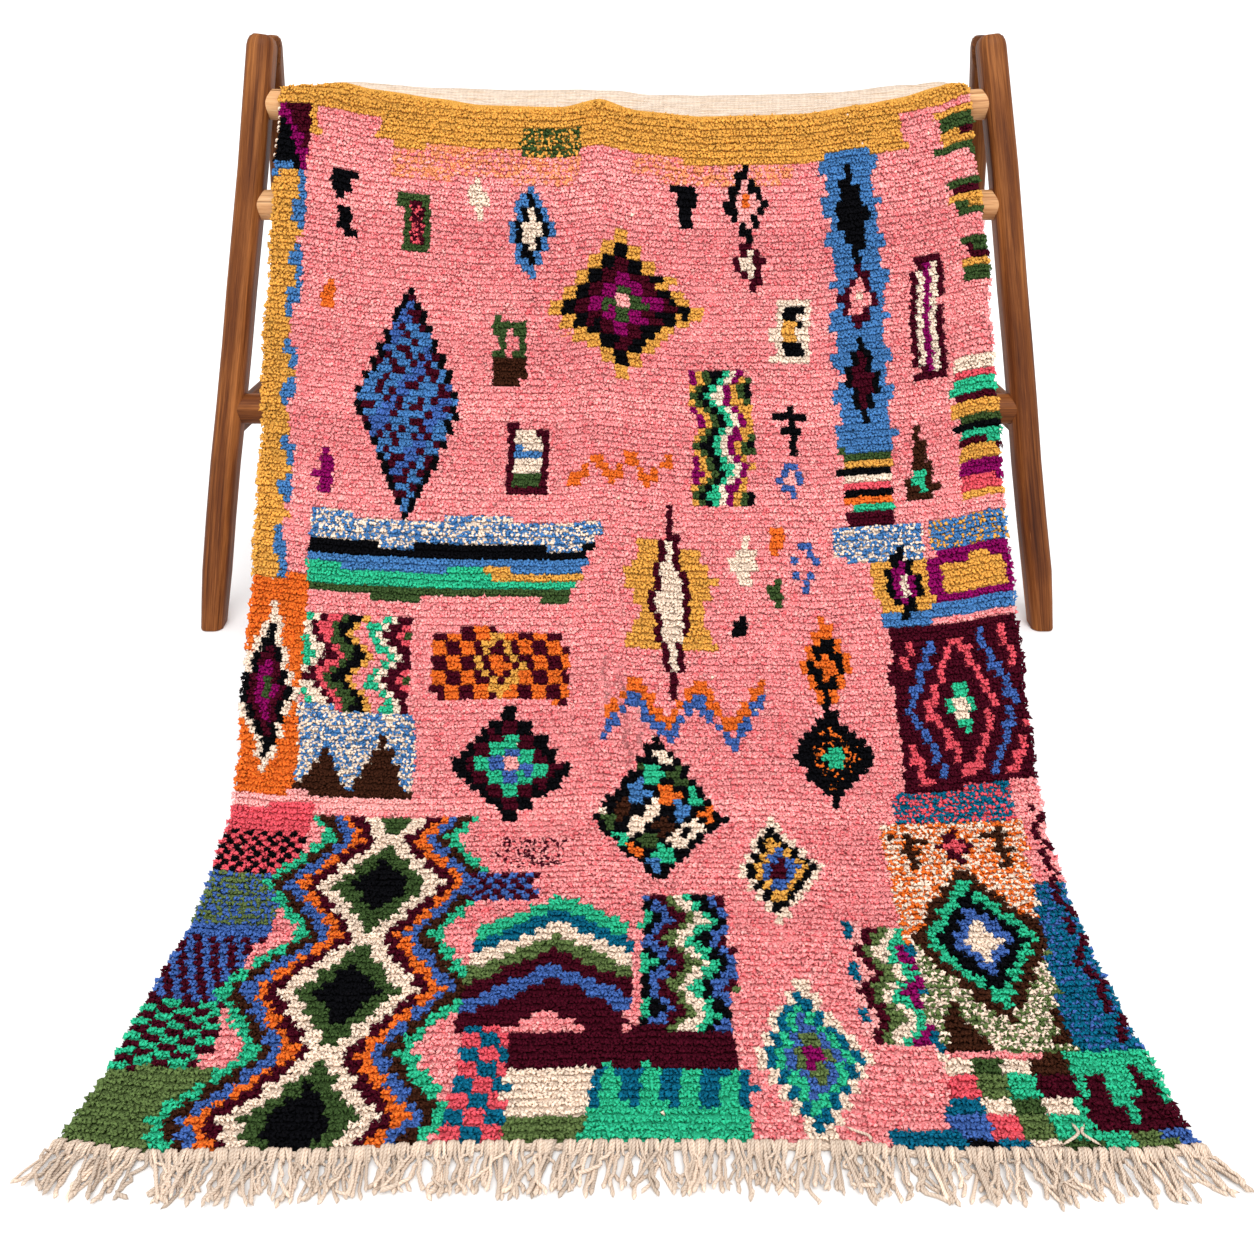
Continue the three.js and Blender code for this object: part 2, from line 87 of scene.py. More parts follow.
# Reach of the rug's sides from the middle, along its run from the crest
SIDES = [
    dict(run=-0.250, left=0.742, right=0.740),
    dict(run=0.000, left=0.754, right=0.742),
    dict(run=0.070, left=0.758, right=0.748),
    dict(run=0.160, left=0.761, right=0.757),
    dict(run=0.280, left=0.765, right=0.766),
    dict(run=0.420, left=0.770, right=0.776),
    dict(run=0.600, left=0.771, right=0.777),
    dict(run=0.800, left=0.767, right=0.780),
    dict(run=0.940, left=0.763, right=0.779),
    dict(run=1.120, left=0.760, right=0.779),
    dict(run=1.300, left=0.755, right=0.783),
    dict(run=1.470, left=0.742, right=0.775),
    dict(run=1.620, left=0.733, right=0.768),
    dict(run=1.790, left=0.724, right=0.757),
    dict(run=1.910, left=0.722, right=0.748),
    dict(run=2.030, left=0.728, right=0.752),
    dict(run=2.230, left=0.748, right=0.759),
    dict(run=2.400, left=0.769, right=0.776),
    dict(run=2.490, left=0.784, right=0.784),
]
SIDE_WAVE = dict(height=0.0040, long=0.061, short=0.0273)
# How far behind the hem line the hem lies
HEM = [
    dict(x=-0.775, back=0.020), dict(x=-0.650, back=-0.002), dict(x=-0.500, back=0.002),
    dict(x=-0.420, back=0.000), dict(x=-0.250, back=0.015), dict(x=0.000, back=0.018),
    dict(x=0.280, back=0.017), dict(x=0.400, back=0.003), dict(x=0.700, back=0.002),
    dict(x=0.775, back=0.010),
]
# Run at which the first row of knots starts
PILE_EDGE = [
    dict(x=-0.745, run=-0.004), dict(x=-0.690, run=-0.004), dict(x=-0.640, run=0.003),
    dict(x=-0.549, run=0.018), dict(x=-0.403, run=0.028), dict(x=-0.317, run=0.036),
    dict(x=-0.145, run=0.038), dict(x=-0.058, run=0.024), dict(x=0.028, run=0.044),
    dict(x=0.158, run=0.057), dict(x=0.374, run=0.056), dict(x=0.503, run=0.040),
    dict(x=0.589, run=0.031), dict(x=0.674, run=0.016), dict(x=0.715, run=0.000),
    dict(x=0.745, run=-0.006),
]
# Height at which the cloth stands off the rung
CREST = [
    dict(x=-0.735, rise=0.000), dict(x=-0.690, rise=0.004), dict(x=-0.610, rise=0.018),
    dict(x=-0.490, rise=0.015), dict(x=-0.410, rise=0.012), dict(x=-0.250, rise=0.010),
    dict(x=-0.060, rise=0.014),
    dict(x=0.070, rise=0.003), dict(x=0.160, rise=0.000), dict(x=0.380, rise=0.000),
    dict(x=0.485, rise=0.003), dict(x=0.595, rise=0.011), dict(x=0.680, rise=0.014),
    dict(x=0.735, rise=0.006),
]
CREST_SPAN = 0.070  # how far down each side the crest's rise fades out
FOLDS = [  # soft ridges and hollows that run down the slope
    dict(x=0.020, lean=-0.05, top=0.620, foot=1.500, height=0.009, width=0.060),
    dict(x=-0.070, lean=0.03, top=0.820, foot=1.420, height=-0.005, width=0.055),
    dict(x=0.250, lean=0.06, top=0.300, foot=1.350, height=0.006, width=0.120),
    dict(x=-0.420, lean=-0.04, top=0.350, foot=1.500, height=0.007, width=0.140),
    dict(x=0.560, lean=0.05, top=0.500, foot=1.550, height=-0.006, width=0.110),
]

# Yarn colours, as the eye sees them

YARNS = {
    "rose": (0.985, 0.625, 0.630), "rose light": (0.995, 0.715, 0.700),
    "rose deep": (0.945, 0.490, 0.510), "apricot": (0.970, 0.640, 0.450),
    "gold": (0.905, 0.675, 0.320), "orange": (0.930, 0.470, 0.180),
    "coral": (0.910, 0.370, 0.420), "magenta": (0.560, 0.060, 0.380), "maroon": (0.290, 0.050, 0.120),
    "brown": (0.260, 0.140, 0.090), "black": (0.050, 0.050, 0.065), "cream": (0.975, 0.890, 0.810),
    "blue": (0.310, 0.520, 0.740), "cobalt": (0.290, 0.430, 0.700), "teal": (0.060, 0.420, 0.540),
    "mint": (0.210, 0.760, 0.580), "olive": (0.260, 0.350, 0.190), "sage": (0.400, 0.480, 0.280),
    "ecru": (0.840, 0.762, 0.690),
}
YARN_NAMES = list(YARNS)
TURN = 2 * math.pi


def linear(colour):
    """Light values of a colour that is given as the eye sees it"""
    seen = np.asarray(colour, float)
    return np.where(seen <= 0.04045, seen / 12.92, ((seen + 0.055) / 1.055) ** 2.4)


# Shader helpers


class Socket:
    """An output socket that takes part in plain arithmetic"""

    def __init__(self, shader, output):
        self.shader = shader
        self.output = output

    def _join(self, kind, first, second):
        return self.shader.node("ShaderNodeMath", {"operation": kind}, {0: first, 1: second})

    def __add__(self, other):
        return self._join("ADD", self, other)

    __radd__ = __add__

    def __mul__(self, other):
        return self._join("MULTIPLY", self, other)

    __rmul__ = __mul__

    def __sub__(self, other):
        return self._join("SUBTRACT", self, other)

    def __rsub__(self, other):
        return self._join("SUBTRACT", other, self)

    def power(self, other):
        return self._join("POWER", self, other)


class Shader:
    """A material whose nodes are added one by one"""

    def __init__(self, name):
        self.material = bpy.data.materials.new(name)
        self.material.use_nodes = True
        self.tree = self.material.node_tree
        self.surface = self.tree.nodes["Principled BSDF"]

    def node(self, kind, settings=None, inputs=None, output=0):
        made = self.tree.nodes.new(kind)
        for key, value in (settings or {}).items():
            if key == "stops":
                ramp = made.color_ramp
                while len(ramp.elements) < len(value):
                    ramp.elements.new(0.5)
                for element, (place, colour) in zip(ramp.elements, value):
                    element.position = place
                    element.color = (*colour, 1.0)
            else:
                setattr(made, key, value)
        for key, value in (inputs or {}).items():
            self.feed(made.inputs[key], value)
        return Socket(self, made.outputs[output])

    def feed(self, entry, value):
        if isinstance(value, Socket):
            self.tree.links.new(value.output, entry)
        elif isinstance(value, (tuple, list)) and len(value) == 3 and entry.type == "RGBA":
            entry.default_value = (*value, 1.0)
        else:
            entry.default_value = value

    def surface_in(self, **values):
        for key, value in values.items():
            self.feed(self.surface.inputs[key.replace("_", " ")], value)

    def noise(self, where, scale, detail=2.0, roughness=0.5):
        return self.node("ShaderNodeTexNoise", {}, {
            "Vector": where, "Scale": scale, "Detail": detail, "Roughness": roughness})

    def mix(self, share, first, second, blend="MIX"):
        return self.node("ShaderNodeMix", {"data_type": "RGBA", "blend_type": blend}, {
            0: share, 6: first, 7: second}, 2)

    def stretch(self, where, scale):
        return self.node("ShaderNodeMapping", {}, {"Vector": where, "Scale": scale})

    def grain(self, where, kind, detail, roughness):
        across, along = GRAIN[kind]
        return self.noise(self.stretch(where, (across, across, along)), 1.0, detail, roughness)

    def ramp(self, value, stops):
        return self.node("ShaderNodeValToRGB", {"stops": stops}, {"Fac": value})

    def attribute(self, name, output=0):
        return self.node("ShaderNodeAttribute", {"attribute_name": name}, {}, output)

    def bump(self, height, strength, distance):
        return self.node("ShaderNodeBump", {}, {
            "Height": height, "Strength": strength, "Distance": distance})


# Materials

GROOVE_SHADE = 0.42  # painted shade: how much of the deeper colour shows between curls and plies
FIBRE_SCALE = 900.0
WOOL_ROUGHNESS = 0.95
WOOL_GLOSS = 0.03
RIDGE_SHARPNESS = 0.7
CURL_SCALE = 150.0
CURL_TURNS = 15.0
PLY_TWIST = 620.0  # radians for each metre of yarn
WEFT_STEP = 0.0052
WARP_STEP = 0.0083
WOOD_GLOSS = 0.16
FLAT_NOISE = dict(wander=45.0, mottle=90.0, fibres=700.0)
WEFT_STREAKS = (13.0, 320.0, 1.0)
# Scales of the wood's patterns: across the grain, and along it
GRAIN = dict(cloud=(13.0, 2.2), broad=(52.0, 1.9), fine=(330.0, 7.0), pores=(1100.0, 26.0),
             streaks=(95.0, 1.6), wear=(240.0, 12.0))


def yarn_surface(shader, relief, depth):
    """Wool of the colour given for every yarn, with painted shade, a deeper colour, in the grooves of its
    relief, and fine fibres
    """
    colour = shader.attribute("yarn colour")
    place = shader.node("ShaderNodeTexCoord", {}, {}, "Object")
    fibres = shader.noise(place, FIBRE_SCALE, 3.0, 0.7)
    deep = shader.node("ShaderNodeVectorMath", {"operation": "MULTIPLY"}, {0: colour, 1: colour})
    shade = fibres * 0.40 + 0.82
    grey = shader.node("ShaderNodeCombineColor", {}, {0: shade, 1: shade, 2: shade})
    # painted shade: the colour turns deeper, towards its square, in the grooves of the relief
    thread = shader.mix((1 - relief) * GROOVE_SHADE, colour, deep)
    shader.surface_in(
        Base_Color=shader.mix(1.0, thread, grey, "MULTIPLY"),
        Normal=shader.bump(relief + fibres * 0.5, 0.6, depth),
        Roughness=WOOL_ROUGHNESS, Specular_IOR_Level=WOOL_GLOSS)
    return shader.material


def ridges(shader, phase):
    """Rounded ridges with narrow grooves between them"""
    wave = shader.node("ShaderNodeMath", {"operation": "SINE"}, {0: phase})
    return shader.node("ShaderNodeMath", {"operation": "ABSOLUTE"}, {0: wave}).power(RIDGE_SHARPNESS)


def pile_material():
    """Cut wool pile whose loose ends curl in all directions"""
    shader = Shader("pile wool")
    place = shader.node("ShaderNodeTexCoord", {}, {}, "Object")
    drift = shader.noise(place, CURL_SCALE, 1.0)
    return yarn_surface(shader, ridges(shader, drift * CURL_TURNS), 0.0016)


def cord_material():
    """Warp yarn of two plies twisted together"""
    shader = Shader("fringe yarn")
    around = shader.node("ShaderNodeUVMap", {"uv_map": "along yarn"})
    parts = shader.node("ShaderNodeSeparateXYZ", {}, {0: around})
    length = Socket(shader, parts.output.node.outputs[1])
    return yarn_surface(shader, ridges(shader, parts * (2 * TURN) + length * PLY_TWIST), 0.0014)


def weave_material():
    """The flat-woven cloth: weft ribs over the warps, and the flat knots that show on its back"""
    shader = Shader("flat weave")
    colour = shader.attribute("yarn colour")
    flat = shader.node("ShaderNodeUVMap", {"uv_map": "flat cloth"})
    parts = shader.node("ShaderNodeSeparateXYZ", {}, {0: flat})
    run = Socket(shader, parts.output.node.outputs[1])
    wander = shader.noise(flat, FLAT_NOISE["wander"], 3.0)
    rib_phase = (run + wander * 0.011) * (TURN / WEFT_STEP)
    warp_phase = (parts + wander * 0.009) * (TURN / WARP_STEP)
    ribs = shader.node("ShaderNodeMath", {"operation": "SINE"}, {0: rib_phase})
    warps = shader.node("ShaderNodeMath", {"operation": "SINE"}, {0: warp_phase})
    fibres = shader.noise(flat, FLAT_NOISE["fibres"], 3.0, 0.7)
    wefts = shader.noise(shader.stretch(flat, WEFT_STREAKS), 1.0, 2.0, 0.6)
    tint = shader.ramp(wefts, [(0.46, (1.0, 1.0, 1.0)), (0.68, (0.84, 0.72, 0.58))])
    mottle = shader.noise(flat, FLAT_NOISE["mottle"], 3.0, 0.7)
    # ribs and warps also lighten and darken the colour along the weave's relief, a painted shade in its
    # furrows; fibres and mottle give the yarn's own uneven tone
    shade = fibres * 0.34 + mottle * 0.60 + ribs * 0.07 + warps * 0.04 + 0.52
    grey = shader.node("ShaderNodeCombineColor", {}, {0: shade, 1: shade, 2: shade})
    thread = shader.mix(1.0, colour, grey, "MULTIPLY")
    shader.surface_in(
        Base_Color=shader.mix(0.8, thread, tint, "MULTIPLY"),
        Normal=shader.bump(ribs * 0.5 + warps * 0.2 + fibres * 0.4 + mottle, 0.8, 0.0016),
        Roughness=WOOL_ROUGHNESS, Specular_IOR_Level=WOOL_GLOSS)
    return shader.material


def wood_material(name, dark, middle, light):
    """Oiled hardwood: soft broad grain along the piece, long dark streaks, pale worn scratches"""
    shader = Shader(name)
    grain = shader.attribute("grain", 1)
    cloud = shader.grain(grain, "cloud", 3.0, 0.6)
    broad = shader.grain(grain, "broad", 3.0, 0.6)
    fine = shader.grain(grain, "fine", 4.0, 0.7)
    pores = shader.grain(grain, "pores", 2.0, 0.5)
    streaks = shader.grain(grain, "streaks", 3.0, 0.6)
    wear = shader.grain(grain, "wear", 3.0, 0.6)
    tone = cloud * 0.42 + broad * 0.36 + fine * 0.36 - 0.07
    colour = shader.ramp(tone, [(0.36, linear(dark)), (0.50, linear(middle)), (0.68, linear(light))])
    pore = shader.ramp(pores, [(0.32, (0.55, 0.46, 0.38)), (0.47, (1.0, 1.0, 1.0))])
    streak = shader.ramp(streaks, [(0.33, (0.30, 0.20, 0.12)), (0.42, (1.0, 1.0, 1.0))])
    scratch = shader.ramp(wear, [(0.67, (0.0, 0.0, 0.0)), (0.74, (1.0, 1.0, 1.0))])
    base = shader.mix(0.60, colour, pore, "MULTIPLY")
    base = shader.mix(0.70, base, streak, "MULTIPLY")
    base = shader.mix(scratch * 0.45, base, tuple(linear(light)))
    shader.surface_in(
        Base_Color=base,
        Normal=shader.bump(fine * 0.6 + pores * 0.5 + streaks * 0.4, 0.35, 0.0007),
        Roughness=broad * 0.25 + 0.42, Specular_IOR_Level=WOOD_GLOSS)
    return shader.material


def floor_material():
    shader = Shader("pale floor")
    place = shader.node("ShaderNodeTexCoord", {}, {}, "Object")
    cloud = shader.noise(place, 0.8, 2.0)
    shader.surface_in(
        Base_Color=shader.ramp(cloud, [(0.3, (0.85, 0.85, 0.85)), (0.7, (0.87, 0.87, 0.87))]),
        Roughness=0.9, Specular_IOR_Level=0.1)
    return shader.material


# Mesh helpers


def finish_piece(name, mesh, material):
    piece = bpy.data.objects.new(name, mesh)
    bpy.context.scene.collection.objects.link(piece)
    mesh.materials.append(material)
    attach(piece, "root")
    return piece


def mesh_of(bm, name):
    bmesh.ops.recalc_face_normals(bm, faces=bm.faces)
    for face in bm.faces:
        face.smooth = True
    mesh = bpy.data.meshes.new(name)
    bm.to_mesh(mesh)
    bm.free()
    return mesh


def yarn_template(sides, rings):
    """An upright sleeve of unit rings, drawn in to a point at both ends"""
    bm = bmesh.new()
    bmesh.ops.create_uvsphere(bm, u_segments=sides, v_segments=rings + 1, radius=1.0)
    bm.verts.ensure_lookup_table()
    places = np.array([vertex.co for vertex in bm.verts])
    faces = [[vertex.index for vertex in face.verts] for face in bm.faces]
    bm.free()
    station = np.rint(np.arccos(np.clip(-places[:, 2], -1, 1)) / math.pi * (rings + 1)).astype(int)
    turn = np.arctan2(places[:, 1], places[:, 0])
    spoke = np.stack([np.cos(turn), np.sin(turn)], axis=1)
    return station, spoke, faces


DEEPEN = 1.6  # painted shade makes the wool deeper in colour, not only darker
TWIST_SPAN = 0.02
YARN_START = 0.618 * TWIST_SPAN  # step between neighbouring yarns' starts along their twist


def joined_yarns(name, paths, radii, upright, colours, painted_shades, sides):
    """One mesh of many yarns, each along its own path: paths holds yarns, stations and 3 coordinates"""
    count, stations, _ = paths.shape
    ring, spoke, faces = yarn_template(sides, stations - 2)
    radii = radii.copy()
    radii[:, 0] = 0
    radii[:, -1] = 0
    size = len(ring)
    tangent = np.gradient(paths, axis=1)
    tangent /= np.linalg.norm(tangent, axis=2, keepdims=True)
    aside = np.cross(tangent, upright[:, None, :])
    aside /= np.linalg.norm(aside, axis=2, keepdims=True)
    above = np.cross(aside, tangent)
    points = paths[:, ring] + radii[:, ring, None] * (
        spoke[None, :, :1] * aside[:, ring] + spoke[None, :, 1:] * above[:, ring])
    corners = np.concatenate([np.array(face) for face in faces])
    totals = np.array([len(face) for face in faces])
    step = np.arange(count)[:, None] * size
    mesh = bpy.data.meshes.new(name)
    mesh.vertices.add(count * size)
    mesh.vertices.foreach_set("co", points.astype(np.float32).ravel())
    mesh.loops.add(count * len(corners))
    mesh.loops.foreach_set("vertex_index", (corners[None, :] + step).astype(np.int32).ravel())
    mesh.polygons.add(count * len(faces))
    starts = np.concatenate([[0], np.cumsum(totals)[:-1]])
    starts = starts[None, :] + np.arange(count)[:, None] * len(corners)
    mesh.polygons.foreach_set("loop_start", starts.astype(np.int32).ravel())
    mesh.polygons.foreach_set("use_smooth", np.ones(count * len(faces), bool))
    mesh.update(calc_edges=True)
    # painted shade: each station's shade darkens and deepens the yarn colour
    tint = np.ones((count, size, 4), np.float32)
    shade = painted_shades[:, ring, None]
    tint[:, :, :3] = colours[:, None, :] ** (1 + DEEPEN * (1 - shade)) * shade
    layer = mesh.attributes.new("yarn colour", "FLOAT_COLOR", "POINT")
    layer.data.foreach_set("color", tint.ravel())
    turn = np.arctan2(spoke[:, 1], spoke[:, 0]) / TURN + 0.5
    gone = np.cumsum(np.linalg.norm(np.diff(paths, axis=1), axis=2), axis=1)
    length = np.concatenate([np.zeros((count, 1)), gone], axis=1)
    around = turn[corners]
    first = np.repeat(starts[0], totals)
    wraps = (around - turn[corners[first]] < -0.5) * 1.0 - (around - turn[corners[first]] > 0.5) * 1.0
    uv = np.empty((count, len(corners), 2), np.float32)
    uv[:, :, 0] = around + wraps
    uv[:, :, 1] = length[:, ring[corners]] + (np.arange(count) * YARN_START % TWIST_SPAN)[:, None]
    mesh.uv_layers.new(name="along yarn").data.foreach_set("uv", uv.ravel())
    return mesh


# How the cloth lies


def eased(table, key, column, at):
    """A table's column at each value, easing from row to row"""
    stops = np.array([row[key] for row in table])
    values = np.array([row[column] for row in table])
    index = np.clip(np.searchsorted(stops, at) - 1, 0, len(stops) - 2)
    share = np.clip((at - stops[index]) / (stops[index + 1] - stops[index]), 0, 1)
    share = (share + share * share * (3 - 2 * share)) / 2
    return values[index] + (values[index + 1] - values[index]) * share


def leg_place(leg, z, side=1):
    """A point on a leg's axis, from the hem line"""
    share = z / leg["height"]
    x = leg["foot"][0] + (leg["top"][0] - leg["foot"][0]) * share
    y = leg["foot"][1] + (leg["top"][1] - leg["foot"][1]) * share
    return Vector((side * x, y, z))


def rung_half(rung):
    return leg_place(rung["leg"], rung["z"]).x - rung["leg"]["width"] / 2 + TENON


def rung_height(x):
    rung = RUNGS[0]
    return rung["z"] - rung["bow"] * (1 - (x / rung_half(rung)) ** 2)


def slope_ends(x):
    """The four points that shape the slope from the rung down to the floor"""
    start = np.stack([
        np.full_like(x, RUNG_BACK - WRAP_RADIUS * math.sin(LEAVE_ANGLE)),
        rung_height(x) + WRAP_RADIUS * math.cos(LEAVE_ANGLE)], axis=-1)
    end = np.stack([np.full_like(x, TOUCH_DOWN), np.zeros_like(x)], axis=-1)
    chord = np.linalg.norm(start - end, axis=-1, keepdims=True)
    first = start - chord * SLOPE_HANDLE * np.array([math.cos(LEAVE_ANGLE), math.sin(LEAVE_ANGLE)])
    second = end + chord * FLOOR_HANDLE * np.array([1.0, 0.0])
    return start, first, second, end


def slope_curve(x, share):
    start, first, second, end = slope_ends(x)
    t = share[..., None]
    u = 1 - t
    place = u ** 3 * start + 3 * u ** 2 * t * first + 3 * u * t ** 2 * second + t ** 3 * end
    heading = u ** 2 * (first - start) + 2 * u * t * (second - first) + t ** 2 * (end - second)
    return place, heading


def length_along(path):
    return np.concatenate([[0], np.cumsum(np.linalg.norm(np.diff(path, axis=0), axis=1))])


def slope_lengths():
    """Length of the slope at several places across, and how the curve's share grows along it"""
    stations = np.linspace(-0.8, 0.8, 17)
    share = np.linspace(0, 1, 801)
    lengths = []
    for x in stations:
        place, _ = slope_curve(np.full_like(share, x), share)
        lengths.append(length_along(place)[-1])
    middle, _ = slope_curve(np.zeros_like(share), share)
    along = length_along(middle)
    return stations, np.array(lengths), along / along[-1], share


SLOPE = slope_lengths()
WRAP_RUN = WRAP_RADIUS * LEAVE_ANGLE
TAIL_RUN = -WRAP_RADIUS * math.pi / 2


def slope_length(x):
    return np.interp(x, SLOPE[0], SLOPE[1])


def hem_run(x):
    """Distance along the cloth from the crest to the hem"""
    return WRAP_RUN + slope_length(x) + TOUCH_DOWN - eased(HEM, "x", "back", x)


def loose_lift(x, run):
    """How far the cloth stands off its plain shape, at the crest and in its soft folds"""
    aside = np.clip(np.abs(run) / CREST_SPAN, 0, 1)
    lift = eased(CREST, "x", "rise", x) * (1 - aside * aside * (3 - 2 * aside))
    for fold in FOLDS:
        share = np.clip((run - fold["top"]) / (fold["foot"] - fold["top"]), 0, 1)
        offset = (x - fold["x"] - fold["lean"] * (run - fold["top"])) / fold["width"]
        lift = lift + fold["height"] * np.sin(math.pi * share) ** 2 * np.exp(-offset * offset)
    return lift


def lay(x, run, height=0.0):
    """Places on the cloth: distance from the middle, run from the crest, height over the underside"""
    length = slope_length(x)
    share = np.interp(np.clip((run - WRAP_RUN) / length, 0, 1), SLOPE[2], SLOPE[3])
    place, heading = slope_curve(x, share)
    y, z = place[..., 0], place[..., 1]
    turn = np.arctan2(-heading[..., 1], -heading[..., 0])
    wrapped = run < WRAP_RUN
    angle = np.clip(run / WRAP_RADIUS, -math.pi / 2, LEAVE_ANGLE)
    y = np.where(wrapped, RUNG_BACK - WRAP_RADIUS * np.sin(angle), y)
    z = np.where(wrapped, rung_height(x) + WRAP_RADIUS * np.cos(angle), z)
    turn = np.where(wrapped, angle, turn)
    z = z + np.minimum(run - TAIL_RUN, 0)
    past = np.maximum(run - WRAP_RUN - length, 0)
    y = y - past
    turn = np.where(past > 0, 0.0, turn)
    lift = loose_lift(x, run) + height
    return np.stack([x, HEM_Y + y - lift * np.sin(turn), z + lift * np.cos(turn)], axis=-1)


AXIS_STEP = 0.003


def cloth_axes(x, run):
    """Directions on the cloth: across to the right, down the run, and out of the pile side"""
    across = lay(x + AXIS_STEP, run) - lay(x - AXIS_STEP, run)
    down = lay(x, run + AXIS_STEP) - lay(x, run - AXIS_STEP)
    out = np.cross(down, across)
    axes = []
    for direction in (across, down, out):
        axes.append(direction / np.linalg.norm(direction, axis=-1, keepdims=True))
    axes[0] = np.cross(axes[2], axes[1]) * -1
    return axes


def side_reach(run, side):
    waves = np.sin(run / SIDE_WAVE["long"] + 2 * side) + np.sin(run / SIDE_WAVE["short"] - side)
    return eased(SIDES, "run", "left" if side < 0 else "right", run) + SIDE_WAVE["height"] * waves / 2


def across_place(share, run, inset=0.0):
    """Distance from the middle of a warp that lies at a share of the width"""
    left = side_reach(run, -1) - inset
    right = side_reach(run, 1) - inset
    return -left + share * (left + right)


# The weaver's chart


def peaks(value):
    """A zigzag from 0 up to 1 and back, once for each whole step of the value"""
    return 1 - np.abs(2 * (value - np.floor(value)) - 1)


class Chart:
    """The yarn of every knot, painted area by area, in metres on the flat rug from its pile's top edge"""

    def __init__(self, x, run, column, row):
        self.x = x
        self.run = run
        self.column = column
        self.row = row
        self.yarn = np.full(x.shape, YARN_NAMES.index("rose"))
        self.other = self.yarn.copy()
        self.part = np.zeros(x.shape)

    def paint(self, where, yarn):
        """Ties an area in one yarn, or in a heather of two given as (yarn, other, part of the other)"""
        first, second, part = yarn if isinstance(yarn, tuple) else (yarn, yarn, 0.0)
        self.yarn[where] = YARN_NAMES.index(first)
        self.other[where] = YARN_NAMES.index(second)
        self.part[where] = part

    def box(self, x0, x1, top, foot):
        return (self.x >= x0) & (self.x < x1) & (self.run >= top) & (self.run < foot)

    def block(self, x0, x1, top, foot, yarn):
        self.paint(self.box(x0, x1, top, foot), yarn)

    def frame(self, x0, x1, top, foot, rim, outer, inner):
        self.block(x0, x1, top, foot, outer)
        self.block(x0 + rim, x1 - rim, top + rim, foot - rim, inner)

    def lozenge(self, x, run, width, height, band, yarns):
        """Lozenges one inside the other, the outermost first"""
        depth = 1 - np.abs(self.x - x) / width - np.abs(self.run - run) / height
        for index, yarn in enumerate(yarns):
            self.paint(depth > index * band / width, yarn)

    def stepped(self, x, run, step_x, step_run, yarns):
        """A diamond of square steps, the outermost yarn first"""
        aside = np.floor(np.abs(self.x - x) / step_x + 0.5)
        ring = aside + np.floor(np.abs(self.run - run) / step_run + 0.5)
        for index, yarn in enumerate(yarns):
            self.paint(ring < len(yarns) - index, yarn)

    def check(self, area, columns, rows, yarn, other):
        """Checks of so many knots across and down"""
        odd = (self.column // columns + self.row // rows) % 2 == 1
        self.paint(area, yarn)
        self.paint(area & odd, other)

    def bars(self, area, level, yarns, each):
        """Stripes in turn, by a level that grows across them"""
        index = np.floor(level / each).astype(int)
        for order, yarn in enumerate(yarns):
            self.paint(area & (index % len(yarns) == order), yarn)

    def stack(self, x0, x1, top, bands):
        """Short level stripes one under the other, as (yarn, thickness)"""
        for index, (yarn, thick) in enumerate(bands):
            self.block(x0 + 0.010 * (index % 2), x1, top, top + thick, yarn)
            top += thick

    def zigzag(self, area, level, period, height, thick, run, yarn):
        line = run + height * peaks(level / period)
        self.paint(area & (np.abs(self.run - line) < thick / 2), yarn)

    def triangle(self, x, top, foot, half, yarn, hanging=False):
        share = (self.run - top) / (foot - top)
        share = 1 - share if hanging else share
        inside = (self.run >= top) & (self.run < foot) & (np.abs(self.x - x) < half * np.clip(share, 0, 1))
        self.paint(inside, yarn)

    def lattice(self, area, width, height, thick, line, yarns):
        """A net of small lozenges in several yarns"""
        rising = self.x / width + self.run / height
        falling = self.x / width - self.run / height
        cell = (np.floor(rising) * 2 + np.floor(falling) * 3).astype(int) % len(yarns)
        for index, yarn in enumerate(yarns):
            self.paint(area & (cell == index), yarn)
        near = np.minimum(peaks(rising), peaks(falling)) < thick / width
        self.paint(area & near, line)


